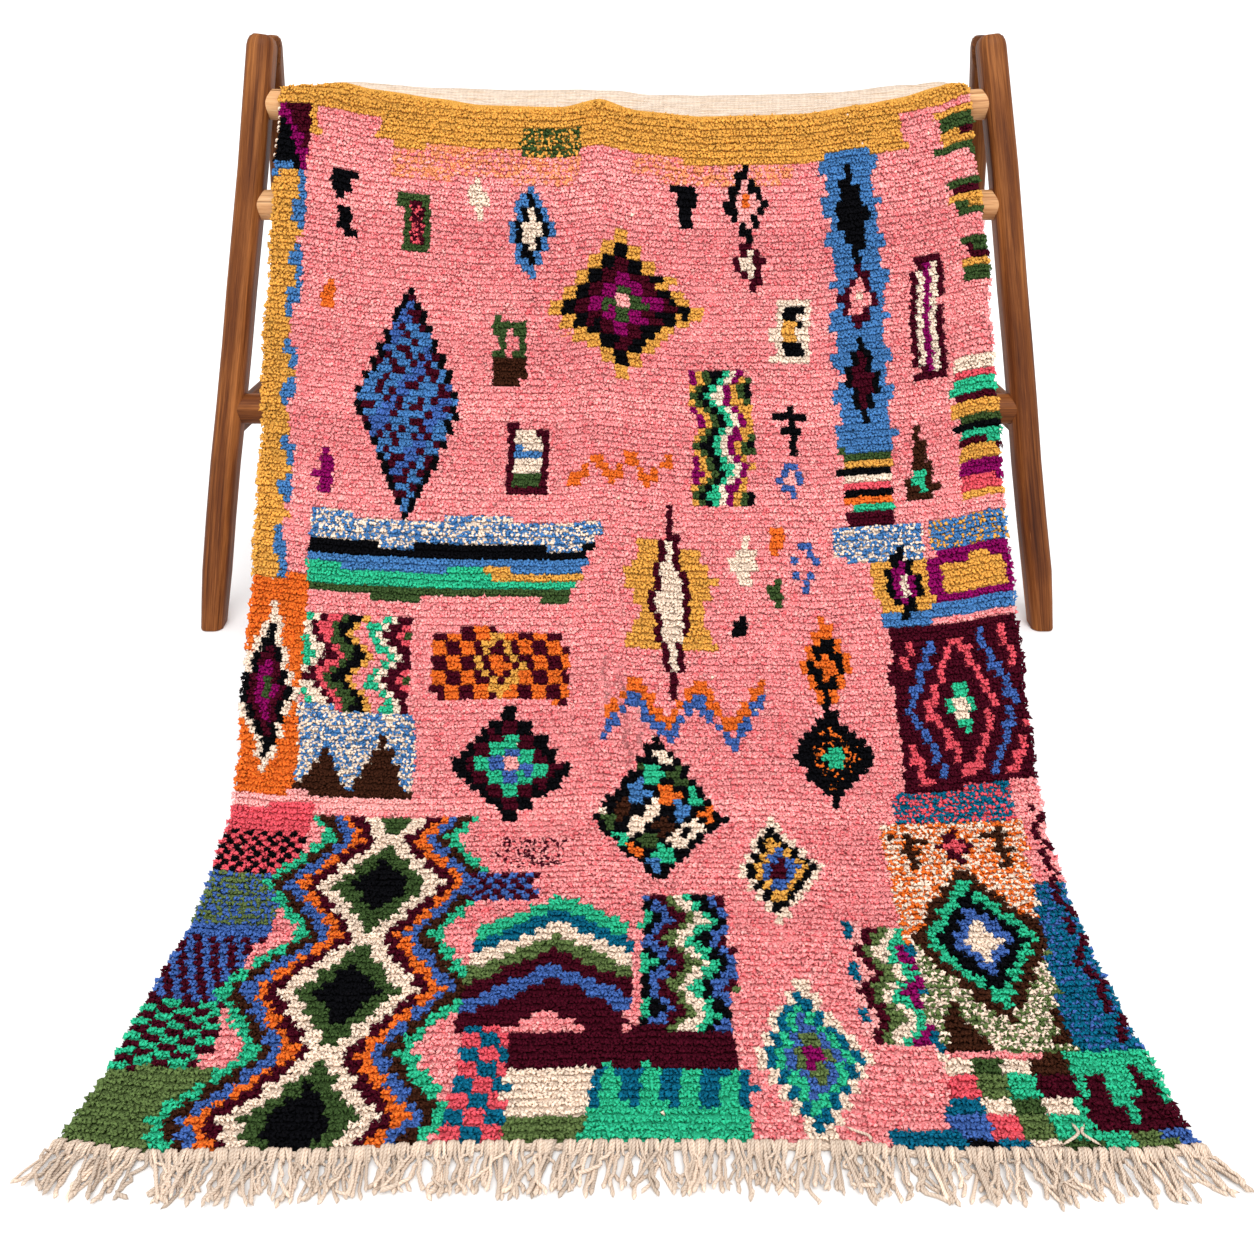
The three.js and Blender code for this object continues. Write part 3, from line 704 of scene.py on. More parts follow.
def chart_borders(c):
    """Gold head band, scalloped left border, striped right border"""
    head = 0.104 + 0.012 * np.exp(-((c.x - 0.42) / 0.22) ** 2)
    c.paint(c.box(-0.50, -0.10, head.min(), 0.175), ("rose", "apricot", 0.55))
    c.paint(c.box(0.02, 0.36, head.min(), 0.160), ("rose", "apricot", 0.50))
    c.paint((c.run < head) & (c.x > -0.535) & (c.x < 0.600), "gold")
    c.paint(c.box(-0.225, -0.095, 0.050, 0.112), ("gold", "olive", 0.6))
    c.paint(c.box(-0.160, -0.060, 0.500, 0.530), ("rose", "apricot", 0.3))
    c.block(-0.76, -0.535, 0.0, 0.047, "gold")
    c.block(-0.76, 0.76, 0.0, 0.020, "gold")
    c.block(0.600, 0.76, 0.0, 0.036, "gold")
    c.block(-0.683, -0.664, 0.0, 0.118, "gold")
    corner = c.box(-0.76, -0.683, 0.047, 0.215)
    c.paint(corner, "maroon")
    lean = c.x + 0.742 - 0.50 * (c.run - 0.065)
    c.paint(corner & (lean < 0.0) & (c.run > 0.085), "black")
    c.paint(corner & (np.abs(lean) < 0.010), "magenta")
    c.paint(corner & (c.run > 0.170 + 0.55 * (c.x + 0.75)), "blue")
    border = c.box(-0.76, -0.660, 0.205, 1.10)
    c.paint(border & (c.x < -0.686 + 0.005 * np.sin(c.run * 31)), "blue")
    c.paint(border & (c.x < -0.712 + 0.026 * peaks((c.run + 0.03) / 0.105)), "gold")
    c.stack(0.670, 0.76, 0.047, [
        ("gold", 0.024), ("olive", 0.024), ("maroon", 0.016), ("gold", 0.024), ("olive", 0.024)])
    c.stack(0.685, 0.76, 0.222, [("olive", 0.018), ("maroon", 0.018), ("gold", 0.018), ("olive", 0.024)])
    c.stack(0.690, 0.76, 0.355, [("olive", 0.020), ("maroon", 0.024), ("gold", 0.022), ("olive", 0.022)])
    c.stack(0.660, 0.76, 0.620, [
        ("cream", 0.032), ("coral", 0.016), ("mint", 0.034), ("maroon", 0.018), ("gold", 0.030),
        ("olive", 0.018), ("black", 0.018), ("mint", 0.018), ("maroon", 0.016), ("gold", 0.018),
        ("magenta", 0.048), ("coral", 0.018), ("gold", 0.018)])
    c.paint(c.box(0.595, 0.76, 0.960, 1.03), ("blue", "gold", 0.3))
    c.frame(0.590, 0.76, 1.032, 1.145, 0.020, "magenta", "gold")
    c.block(0.480, 0.76, 1.145, 1.178, "blue")


def chart_upper_field(c):
    """Figures on the rose ground, from the head band to half way down"""
    c.triangle(-0.600, 0.190, 0.262, 0.030, "black", hanging=True)
    c.triangle(-0.600, 0.250, 0.325, 0.024, "black")
    c.frame(-0.480, -0.415, 0.215, 0.345, 0.017, "olive", ("maroon", "coral", 0.35))
    c.lozenge(-0.315, 0.215, 0.024, 0.062, 0.02, ["cream"])
    c.lozenge(-0.205, 0.285, 0.052, 0.120, 0.015, ["blue", "black", "cream"])
    c.lozenge(-0.450, 0.690, 0.112, 0.275, 0.010, ["black"])
    inside = (1 - np.abs(c.x + 0.450) / 0.112 - np.abs(c.run - 0.690) / 0.275) > 0.10
    c.lattice(inside, 0.034, 0.055, 0.006, "maroon", ["blue", "blue", "cobalt"])
    c.stepped(-0.010, 0.455, 0.0285, 0.0315, ["gold", "black", "maroon", "magenta", "olive", "rose light"])
    c.frame(-0.275, -0.212, 0.490, 0.650, 0.020, "olive", "rose")
    c.block(-0.275, -0.212, 0.580, 0.650, "brown")
    c.frame(-0.250, -0.170, 0.735, 0.885, 0.014, "maroon", "cream")
    c.block(-0.236, -0.184, 0.785, 0.815, "blue")
    c.block(-0.236, -0.184, 0.840, 0.872, "olive")
    c.lozenge(-0.620, 0.470, 0.020, 0.045, 0.02, ["orange"])
    c.lozenge(-0.615, 0.870, 0.022, 0.060, 0.02, ["magenta"])
    c.triangle(0.125, 0.160, 0.300, 0.030, "black", hanging=True)
    c.lozenge(0.255, 0.205, 0.046, 0.095, 0.018, ["black", "rose light", "orange"])
    c.lozenge(0.255, 0.345, 0.036, 0.062, 0.018, ["maroon", "cream"])
    c.frame(0.300, 0.372, 0.430, 0.580, 0.016, "cream", "black")
    c.lozenge(0.336, 0.505, 0.014, 0.050, 0.02, ["gold"])
    teeth = np.abs(c.x - 0.478) - 0.042 - 0.020 * peaks(c.run / 0.088)
    c.paint((teeth < 0) & (c.run > 0.100) & (c.run < 0.785), "blue")
    c.lozenge(0.478, 0.245, 0.034, 0.125, 0.02, ["black"])
    c.lozenge(0.478, 0.440, 0.042, 0.080, 0.017, ["maroon", "rose", "cream"])
    c.lozenge(0.478, 0.625, 0.036, 0.115, 0.014, ["black", "maroon"])
    c.stack(0.425, 0.530, 0.785, [
        ("olive", 0.016), ("gold", 0.018), ("black", 0.016), ("cream", 0.018), ("coral", 0.018),
        ("black", 0.018), ("orange", 0.018), ("mint", 0.018), ("maroon", 0.030)])
    c.frame(0.588, 0.650, 0.365, 0.640, 0.013, "maroon", "cream")
    c.block(0.612, 0.626, 0.380, 0.625, "magenta")
    c.bars(c.box(0.130, 0.245, 0.590, 0.905), c.x + 0.040 * peaks(c.run / 0.118), [
        "black", "mint", "cream", "magenta", "gold", "olive"], 0.0152)
    c.zigzag(c.box(-0.130, 0.085, 0.790, 0.905), c.x, 0.072, 0.056, 0.032, 0.808, "orange")
    c.block(0.318, 0.330, 0.680, 0.800, "black")
    c.block(0.290, 0.358, 0.692, 0.708, "black")
    c.block(0.298, 0.350, 0.732, 0.748, "black")
    c.lozenge(0.324, 0.850, 0.026, 0.050, 0.013, ["cobalt", "rose light"])
    c.triangle(0.585, 0.730, 0.900, 0.034, "brown")
    c.lozenge(0.585, 0.860, 0.018, 0.036, 0.02, ["mint"])


def chart_middle(c):
    """Bands, panels and figures half way down"""
    slope = -0.055 - 0.45 * (c.run - 0.97)
    bands = [(0.950, 1.012, ("blue", "cream", 0.5)), (1.012, 1.036, "black"), (1.036, 1.066, "blue"),
             (1.066, 1.104, "mint"), (1.104, 1.128, "olive")]
    for top, foot, yarn in bands:
        c.paint((c.x > -0.640) & (c.x < slope) & (c.run >= top) & (c.run < foot), yarn)
    c.paint((c.x > -0.300) & (c.x < slope) & (c.run >= 1.066) & (c.run < 1.085), "gold")
    waist = 0.075 + 0.014 * np.sin(c.run * 42)
    c.paint((np.abs(c.x - 0.075) < waist) & (c.run > 1.000) & (c.run < 1.235), "gold")
    c.lozenge(0.075, 1.135, 0.042, 0.235, 0.013, ["maroon", "cream"])
    c.lozenge(0.225, 1.035, 0.030, 0.066, 0.02, ["cream"])
    c.lozenge(0.290, 0.990, 0.019, 0.046, 0.02, ["orange"])
    c.lozenge(0.345, 1.045, 0.030, 0.064, 0.012, ["cobalt", "rose"])
    c.lozenge(0.285, 1.110, 0.018, 0.040, 0.02, ["olive"])
    c.lozenge(0.210, 1.180, 0.016, 0.036, 0.02, ["black"])
    c.paint(c.box(0.400, 0.590, 0.960, 1.032), ("blue", "cream", 0.45))
    c.block(0.480, 0.590, 1.032, 1.145, "gold")
    c.lozenge(0.535, 1.088, 0.040, 0.085, 0.013, ["black", "magenta", "cream"])
    c.check(c.box(-0.385, -0.130, 1.200, 1.358), 2, 2, "orange", "maroon")
    c.lozenge(-0.258, 1.278, 0.052, 0.080, 0.016, ["gold", "maroon", "orange"])
    c.lozenge(0.370, 1.270, 0.054, 0.118, 0.017, ["orange", "black", "orange", "black"])
    c.lozenge(0.370, 1.480, 0.082, 0.118, 0.030, ["black", ("black", "orange", 0.25), "mint"])
    for depth, yarn in ((0.0, "orange"), (0.036, "cobalt")):
        c.zigzag(c.box(-0.060, 0.245, 1.30, 1.48), c.x, 0.124, 0.100, 0.034, 1.310 + depth, yarn)
    c.stepped(-0.235, 1.510, 0.0255, 0.0315, ["black", "maroon", "mint", "cobalt", "rose light"])
    c.paint(c.box(0.495, 0.76, 1.190, 1.560), "maroon")
    bent = np.abs(c.x - 0.625) + 0.35 * np.abs(c.run - 1.375)
    for level, yarn in ((0.060, "coral"), (0.100, "cobalt"), (0.140, "coral")):
        c.paint(c.box(0.510, 0.740, 1.215, 1.540) & (np.abs(bent - level) < 0.0085), yarn)
    c.lozenge(0.625, 1.375, 0.030, 0.062, 0.012, ["mint", "cream"])
    c.paint(c.box(0.480, 0.700, 1.560, 1.650), ("coral", "teal", 0.55))
    c.paint(c.box(-0.76, -0.640, 1.100, 1.580), "orange")
    c.lozenge(-0.703, 1.350, 0.062, 0.190, 0.013, ["cream", "black", "maroon", "magenta", "olive", "olive"])
    c.bars(c.box(-0.640, -0.430, 1.170, 1.380), c.x + 0.045 * peaks(c.run / 0.105), [
        "cream", "maroon", "coral", "olive", "black", "gold", "rose", "mint"], 0.0190)
    c.paint(c.box(-0.640, -0.420, 1.380, 1.580), ("blue", "cream", 0.5))
    c.triangle(-0.585, 1.465, 1.585, 0.056, "brown")
    c.triangle(-0.480, 1.430, 1.585, 0.062, "brown")
    c.paint(c.box(-0.76, -0.420, 1.580, 1.612), "rose light")


def chart_lower_field(c):
    """The crowded lower part, from the bend down to the floor"""
    c.block(-0.76, -0.600, 1.612, 1.680, "coral")
    c.check(c.box(-0.76, -0.600, 1.680, 1.815), 1, 1, "coral", "black")
    c.paint(c.box(-0.76, -0.610, 1.815, 1.970), ("sage", "cobalt", 0.5))
    c.block(-0.76, -0.610, 1.970, 2.000, "cobalt")
    c.check(c.box(-0.76, -0.620, 2.000, 2.160), 1, 2, "cobalt", "maroon")
    c.check(c.box(-0.76, -0.620, 2.160, 2.320), 2, 1, "mint", "maroon")
    c.block(-0.76, -0.600, 2.320, 2.500, "sage")
    column = c.box(-0.66, -0.24, 1.630, 2.500)
    rim = np.abs(c.x + 0.445) - 0.086 * peaks((c.run - 1.700) / 0.290)
    rings = [(0.120, "mint"), (0.100, "brown"), (0.080, "cobalt"), (0.061, "orange"), (0.043, "maroon"),
             (0.022, "cream"), (-0.006, "olive"), (-0.036, "black")]
    for reach, yarn in rings:
        c.paint(column & (rim < reach), yarn)
    depth = 1 - np.abs(c.x - 0.040) / 0.125 - np.abs(c.run - 1.640) / 0.205
    c.paint(depth > 0, "black")
    c.lattice(depth > 0.09, 0.054, 0.090, 0.010, "black", [
        "cream", "blue", "olive", "cream", "mint", "brown", "orange"])
    c.lozenge(0.250, 1.800, 0.078, 0.170, 0.014, ["cream", "black", "gold", "cobalt", "maroon", "olive"])
    c.lozenge(0.262, 2.300, 0.084, 0.205, 0.014, [
        "cream", "teal", "mint", "cobalt", "sage", "magenta", "cream"])
    c.paint(c.box(-0.240, -0.120, 1.700, 1.790), ("rose", "maroon", 0.3))
    c.check(c.box(-0.290, -0.175, 1.815, 1.900), 1, 1, "cobalt", "maroon")
    fan = (c.run - 1.880) - 0.75 * np.abs(c.x + 0.130)
    c.bars(c.box(-0.262, -0.005, 1.870, 2.250) & (fan > 0) & (fan < 0.304), fan, [
        "mint", "teal", "cream", "sage", "maroon", "cobalt", "maroon", "maroon"], 0.038)
    c.bars(c.box(0.012, 0.158, 1.880, 2.240), c.x + 0.040 * peaks(c.run / 0.122), [
        "cream", "mint", "black", "cobalt", "maroon", "sage"], 0.0175)
    c.bars(c.box(0.352, 0.452, 1.960, 2.270), c.x + 0.035 * peaks(c.run / 0.110), [
        "rose light", "maroon", "sage", "cream", "mint", "magenta", "teal"], 0.0175)
    c.paint(c.box(0.445, 0.700, 1.650, 2.010), ("orange", "cream", 0.5))
    c.paint(c.box(0.452, 0.700, 2.010, 2.280), ("sage", "cream", 0.5))
    for centre in (0.492, 0.654):
        c.block(centre - 0.030, centre + 0.030, 1.690, 1.706, "brown")
        c.block(centre - 0.008, centre + 0.008, 1.675, 1.800, "brown")
        c.block(centre - 0.022, centre + 0.022, 1.736, 1.752, "brown")
        c.triangle(centre, 2.150, 2.270, 0.032, "brown")
    c.lozenge(0.573, 1.725, 0.036, 0.056, 0.014, ["maroon", "coral"])
    c.lozenge(0.573, 2.000, 0.120, 0.215, 0.022, ["brown", "mint", "black", "cobalt", "cream"])
    wedge = (c.x > 0.700 - 0.05 * peaks((c.run - 1.80) / 0.9)) & (c.run > 1.850) & (c.run < 2.285)
    c.paint(wedge, ("teal", "cobalt", 0.25))
    edge = np.abs(c.x - 0.722 - 0.018 * peaks(c.run / 0.094))
    c.paint((edge < 0.007) & (c.run > 1.620) & (c.run < 2.270), "maroon")


def chart_foot(c):
    """Blocks, triangles and patches along the hem"""
    c.check(c.box(-0.250, -0.175, 2.235, 2.500), 2, 2, "coral", "teal")
    c.block(-0.175, 0.150, 2.240, 2.325, "maroon")
    c.block(-0.175, -0.060, 2.325, 2.425, "cream")
    c.block(-0.175, -0.060, 2.425, 2.500, "sage")
    c.block(-0.060, 0.170, 2.325, 2.500, "teal")
    for index in range(4):
        c.triangle(-0.030 + index * 0.056, 2.300, 2.500, 0.040, "mint")
    c.block(0.352, 0.440, 2.290, 2.440, "rose")
    c.block(0.352, 0.440, 2.440, 2.500, "teal")
    patch = c.box(0.440, 0.620, 2.285, 2.500)
    across = np.floor((c.x - 0.440) / 0.045).astype(int)
    along = np.floor((c.run - 2.285) / 0.043).astype(int)
    order = ["cream", "cobalt", "maroon", "olive", "coral", "black",
             "cream", "sage", "teal", "brown", "mint"]
    for index, yarn in enumerate(order):
        c.paint(patch & ((across * 3 + along * 4) % len(order) == index), yarn)
    c.block(0.620, 0.76, 2.285, 2.450, "mint")
    c.triangle(0.655, 2.300, 2.450, 0.036, "maroon")
    c.triangle(0.722, 2.300, 2.450, 0.036, "maroon")
    for index, yarn in enumerate(["mint", "sage", "cobalt"]):
        c.block(0.620 + 0.047 * index, 0.667 + 0.047 * index, 2.450, 2.500, yarn)


def chart_rug(share, row, chance):
    """The chart with the small slips of hand-tied rows"""
    x = (share - 0.5) * FLAT_WIDTH
    run = (row + 0.5) * FLAT_LENGTH / KNOT_ROWS
    slip = chance.normal(0, 0.0012, x.shape[0])[:, None]
    column = np.floor(share * KNOT_COLUMNS).astype(int)
    x = x + slip + 0.0028 * np.sin(run * 23 + x * 5)
    chart = Chart(x, run + 0.0040 * np.sin(x * 19 + 1), column, row.astype(int))
    for part in (chart_borders, chart_upper_field, chart_middle, chart_lower_field, chart_foot):
        part(chart)
    return chart


# Rug


YARN_LIGHT = np.array([linear(YARNS[name]) for name in YARN_NAMES])
EDGE_INSET = 0.0056  # roots of the outermost curls, inside the reach of the side
SHEET_INSET = 0.0095  # the cloth's own edge
HEM_INSET = 0.002
PILE_PIECES = 5  # the pile is laid as so many pieces, to keep each one light
LINT = 0.00012  # part of the yarn ends that carries a pale speck
LIGHT_ROSE = 0.20  # part of the rose yarn ends that are of the lighter dye
DEEP_ROSE = 0.12
VALUE_LIMITS = (0.70, 1.30)
CURLS = [  # where the loose yarn ends of one knot curl up: across, along, height, and painted shade, darker for the curls by the row gap above
    (-0.33, 0.18, 0.0088, 0.92), (0.00, 0.15, 0.0088, 0.90), (0.33, 0.18, 0.0088, 0.92),
    (-0.26, 0.49, 0.0106, 1.00), (0.24, 0.47, 0.0106, 1.00),
    (-0.33, 0.78, 0.0114, 1.03), (0.00, 0.82, 0.0118, 1.03), (0.33, 0.78, 0.0114, 1.03),
]
CURL_GATHER = 0.14  # how much closer to the middle of its row a curl lies that points across it
CURL_LENGTH = 0.0116
CURL_RADIUS = 0.0036
CURL_BEND = 0.0019
CURL_DIP = 0.0034  # how far its ends sink below its middle
# painted shade along a curl: its two sunken ends darker than its middle
CURL_PAINTED_SHADES = (0.92, 1.0, 0.92)
CURL_TURN = 1.6  # how far either way from straight down the rug a curl points
RIM_KNOTS = 1.1  # how many knots in from each side the pile starts to turn down
RIM_DROOP = 0.0050
FIRST_DROOP = 0.0045
FLOOR_GAP = 0.0004
BRICK = 0.25  # how far every other row is set over, in knots
PARTINGS = [  # places where the pile falls open
    dict(top=1.290, foot=1.520, x=-0.014, lean=0.08), dict(top=1.350, foot=1.500, x=0.022, lean=0.06),
    dict(top=1.270, foot=1.400, x=-0.044, lean=0.05),
]
PARTING_WIDTH = 0.013


def row_run(x, row):
    """Run of a row of knots, the first close to the edge of the pile and the last close to the hem"""
    start = eased(PILE_EDGE, "x", "run", x)
    return start + (hem_run(x) - HEM_INSET - start) * (row + 0.5) / KNOT_ROWS


def knot_grid():
    """Share of the width and row of every knot"""
    share, row = np.meshgrid((np.arange(KNOT_COLUMNS) + 0.5) / KNOT_COLUMNS, np.arange(KNOT_ROWS) + 0.0)
    return share, row


def soft_noise(shape, cell, chance):
    """Slow random drift over the grid, between about -1 and 1"""
    coarse = chance.normal(0, 0.6, (shape[0] // cell + 3, shape[1] // cell + 3))
    rows = np.arange(shape[0]) / cell
    columns = np.arange(shape[1]) / cell
    r, q = rows.astype(int), columns.astype(int)
    a, b = (rows - r)[:, None], (columns - q)[None, :]
    a, b = a * a * (3 - 2 * a), b * b * (3 - 2 * b)
    top = coarse[r][:, q] * (1 - b) + coarse[r][:, q + 1] * b
    foot = coarse[r + 1][:, q] * (1 - b) + coarse[r + 1][:, q + 1] * b
    return top * (1 - a) + foot * a


def tuft_colours(chart, shape, chance):
    """Light values for each yarn end, with the dyer's uneven batches from row to row"""
    heather = chance.random(shape) < chart.part[..., None]
    yarn = np.where(heather, chart.other[..., None], chart.yarn[..., None])
    rose = yarn == YARN_NAMES.index("rose")
    batch = np.repeat(chance.normal(0, 1, shape[0] // 4 + 2), 4)[:shape[0], None, None]
    batch = batch + soft_noise(shape[:2], 14, chance)[..., None]
    pick = chance.random(shape)
    yarn = np.where(rose & (pick < LIGHT_ROSE + 0.08 * batch), YARN_NAMES.index("rose light"), yarn)
    yarn = np.where(rose & (pick > 1 - DEEP_ROSE + 0.04 * batch), YARN_NAMES.index("rose deep"), yarn)
    yarn = np.where(chance.random(shape) < LINT, YARN_NAMES.index("cream"), yarn)
    value = 1 + 0.03 * batch + chance.normal(0, 0.030, shape[:2])[..., None]
    value = np.clip(value + chance.normal(0, 0.07, shape), *VALUE_LIMITS)
    return YARN_LIGHT[yarn] * value[..., None]


def make_pile(chart, material, chance):
    """Curled yarn ends in rows, with the outermost ones turned down over the sides"""
    share, row = knot_grid()
    knots = share.shape
    shape = knots + (len(CURLS),)
    across, along, height, light = (np.array(column) for column in zip(*CURLS))
    fluff = soft_noise(knots, 5, chance)[..., None]
    # painted shade: each curl's colour times its shade from CURLS, darker by the row gap
    colour = tuft_colours(chart, shape, chance) * light[:, None]
    knot_size = 1 + chance.normal(0, 0.05, knots)[..., None] + 0.05 * fluff
    knot_step = 0.06 * soft_noise(knots, 7, chance)[..., None] + chance.normal(0, 0.030, knots)[..., None]
    from_middle = np.abs(share[..., None] + across / KNOT_COLUMNS - 0.5)
    rim = np.clip((from_middle - 0.5) * KNOT_COLUMNS / RIM_KNOTS + 1, 0, 1)
    heading = chance.uniform(-CURL_TURN, CURL_TURN, shape) * (1 - 0.6 * rim)
    along = 0.5 + (along - 0.5) * (1 - CURL_GATHER * np.cos(heading) * (1 - rim))
    brick = BRICK * (row[..., None] % 2 - 0.5)
    step = across * knot_size + brick + chance.normal(0, 0.06, shape)
    share = np.clip(share[..., None] + step / KNOT_COLUMNS, 0, 1)
    row = row[..., None] + along - 0.5 + knot_step + chance.normal(0, 0.045, shape)
    x = across_place(share, row / KNOT_ROWS * FLAT_LENGTH, EDGE_INSET)
    run = row_run(x, row)
    parting_dip_and_shade = np.zeros(shape)
    for part in PARTINGS:
        aside = x - part["x"] - part["lean"] * (run - part["top"]) - 0.005 * np.sin(run * 85)
        inside = (run > part["top"]) & (run < part["foot"])
        near = np.exp(-(aside / PARTING_WIDTH) ** 2) * inside
        heading = heading * (1 - near) + 1.4 * near * np.sign(aside)
        parting_dip_and_shade = np.maximum(parting_dip_and_shade, np.exp(-(2.2 * aside / PARTING_WIDTH) ** 2) * inside)
    # painted shade down in the partings, where the pile falls open
    colour = colour * (1 - 0.55 * parting_dip_and_shade)[..., None]
    bend = chance.normal(0, CURL_BEND, shape)
    size = knot_size * (1 + chance.normal(0, 0.12, shape)) * (1 + 0.15 * rim)
    rise = height * (1 + 0.06 * fluff + chance.normal(0, 0.06, knots)[..., None])
    rise = rise + chance.normal(0, 0.0013, shape)
    rise = rise * (1 - 0.35 * parting_dip_and_shade) - RIM_DROOP * rim ** 2 - FIRST_DROOP * np.clip(0.7 - row, 0, 1)
    x, run, heading, bend, size, rise = (values.ravel() for values in (x, run, heading, bend, size, rise))
    colour = colour.reshape(-1, 3)
    rise = np.maximum(rise, CURL_RADIUS * size + FLOOR_GAP)
    across, down, out = cloth_axes(x, run)
    cos, sin = np.cos(heading)[:, None], np.sin(heading)[:, None]
    ahead = (down * cos + across * sin) * (CURL_LENGTH / 2 * size)[:, None]
    aside = (across * cos - down * sin) * bend[:, None]
    root = lay(x, run)
    middle = root + out * rise[:, None]
    tips = root + out * np.maximum(rise - CURL_DIP, FLOOR_GAP)[:, None] - aside
    paths = np.stack([tips - ahead, middle + aside, tips + ahead], axis=1)
    radii = np.repeat((CURL_RADIUS * size)[:, None], 3, axis=1)
    painted_shades = np.tile(CURL_PAINTED_SHADES, (len(x), 1))
    pieces = []
    for index, part in enumerate(np.array_split(np.arange(len(x)), PILE_PIECES)):
        mesh = joined_yarns("pile", paths[part], radii[part], -out[part], colour[part], painted_shades[part], 3)
        pieces.append(finish_piece(f"pile_{index + 1}", mesh, material))
    return pieces


TAIL_ROWS = 16
TAIL_SIDE_ROW = -14  # past it the woven end keeps its width
BODY_HEIGHT = 0.0072  # the dense foot of the pile, over the underside of the cloth
BODY_SLOPE = 2.0  # knots over which it thins towards the sides
# painted shade on the dense foot of the pile, which shows only in the gaps between curls
BODY_GAP_SHADE = 0.78
BACK_SHADE = 0.92
BARE_SHADE = 0.68  # the woven end


def make_weave(chart, pile, chance):
    """The cloth with the dense foot of its pile, and its bare woven end over the rung"""
    rows = TAIL_ROWS + KNOT_ROWS
    bm = bmesh.new()
    bmesh.ops.create_grid(bm, x_segments=KNOT_COLUMNS, y_segments=rows, size=1.0)
    upper = bmesh.ops.extrude_face_region(bm, geom=list(bm.faces), use_keep_orig=True)["geom"]
    upper = [item for item in upper if isinstance(item, bmesh.types.BMVert)]
    bmesh.ops.translate(bm, verts=upper, vec=(0, 0, 1))
    mesh = mesh_of(bm, "weave")
    places = np.empty(len(mesh.vertices) * 3, np.float32)
    mesh.vertices.foreach_get("co", places)
    places = places.reshape(-1, 3).astype(float)
    corner = np.empty(len(mesh.loops), np.int32)
    mesh.loops.foreach_get("vertex_index", corner)
    totals = np.empty(len(mesh.polygons), np.int32)
    mesh.polygons.foreach_get("loop_total", totals)
    starts = np.concatenate([[0], np.cumsum(totals)[:-1]])
    share = (places[:, 0] + 1) / 2
    row = (1 - places[:, 1]) / 2 * rows - TAIL_ROWS
    layer = places[:, 2]
    x = across_place(share, np.clip(row, TAIL_SIDE_ROW, KNOT_ROWS) / KNOT_ROWS * FLAT_LENGTH, SHEET_INSET)
    start = row_run(x, -0.5)
    end = hem_run(x)
    field = start + (end - start) * row / KNOT_ROWS
    tail = start + (start - TAIL_RUN + TAIL) * row / TAIL_ROWS
    run = np.where(row < 0, tail, field)
    knots_in = (0.5 - np.abs(share - 0.5)) * KNOT_COLUMNS
    fullness = np.clip(np.minimum(knots_in / BODY_SLOPE, row + 0.3), 0, 1)
    fullness = fullness * np.clip(KNOT_ROWS - row, 0, 1) * (1 + chance.normal(0, 0.10, len(row)))
    height = layer * (WEAVE_THICK + (BODY_HEIGHT - WEAVE_THICK) * fullness)
    mesh.vertices.foreach_set("co", lay(x, run, height).astype(np.float32).ravel())
    middle = [np.add.reduceat(values[corner], starts) / totals for values in (share, row, layer)]
    knot = (np.clip(np.floor(middle[1]), 0, KNOT_ROWS - 1).astype(int),
            np.clip(np.floor(middle[0] * KNOT_COLUMNS), 0, KNOT_COLUMNS - 1).astype(int))
    heather = chance.random(len(totals)) < chart.part[knot]
    yarn = np.where(heather, chart.other[knot], chart.yarn[knot])
    tied = middle[1] > 0
    above = middle[2] > 0.75
    # painted shade on the foot's upper face, which shows between the curls
    colour = YARN_LIGHT[yarn] * np.where(above, BODY_GAP_SHADE, BACK_SHADE)[:, None]
    colour = np.where(tied[:, None], colour, linear(YARNS["cream"]) * BARE_SHADE)
    tint = np.ones((len(corner), 4), np.float32)
    tint[:, :3] = np.repeat(colour, totals, axis=0)
    mesh.attributes.new("yarn colour", "FLOAT_COLOR", "CORNER").data.foreach_set("color", tint.ravel())
    flat = np.stack([(share - 0.5) * FLAT_WIDTH, run], axis=1)[corner]
    mesh.uv_layers.new(name="flat cloth").data.foreach_set("uv", flat.astype(np.float32).ravel())
    piece = finish_piece("weave", mesh, weave_material())
    mesh.materials.append(pile)
    mesh.polygons.foreach_set("material_index", (tied & above).astype(np.int32))
    mesh.update()
    return piece


BINDING_LOOPS = 8
BINDING_START = 0.060
BINDING_PITCH = 0.0140
BINDING_SLIP = 0.0040
BINDING_ADVANCE = 0.0012  # along the side, from each step of a loop to the next
BINDING_RADIUS = 0.0019
# A binding loop round the left side: distance in from the side and height over the underside
BINDING = [
    dict(inset=0.0110, height=0.0140), dict(inset=0.0085, height=0.0150), dict(inset=0.0065, height=0.0135),
    dict(inset=0.0055, height=0.0100), dict(inset=0.0080, height=0.0050),
]


def undyed_yarns(name, paths, radii, upright, colours, sides, material):
    """A piece of undyed yarns, even in shade from end to end"""
    painted_shades = np.ones(paths.shape[:2])
    mesh = joined_yarns(name, paths, np.broadcast_to(radii, painted_shades.shape), upright, colours, painted_shades, sides)
    return finish_piece(name, mesh, material)


def alike(value, count):
    return np.tile(value, (count, 1))


def make_binding(material, chance):
    """Pale loops that bind the left side near the top"""
    slip = chance.normal(0, BINDING_SLIP, BINDING_LOOPS)
    run = BINDING_START + BINDING_PITCH * np.arange(BINDING_LOOPS) + slip
    edge = -side_reach(run, -1)
    paths = [lay(edge + step["inset"], run + BINDING_ADVANCE * index, step["height"])
             for index, step in enumerate(BINDING)]
    _, down, _ = cloth_axes(edge, run)
    radii = BINDING_RADIUS * (1 + chance.normal(0, 0.15, BINDING_LOOPS))[:, None]
    colour = alike(linear(YARNS["cream"]), BINDING_LOOPS)
    return undyed_yarns("binding", np.stack(paths, axis=1), radii, down, colour, 5, material)


# Fringe

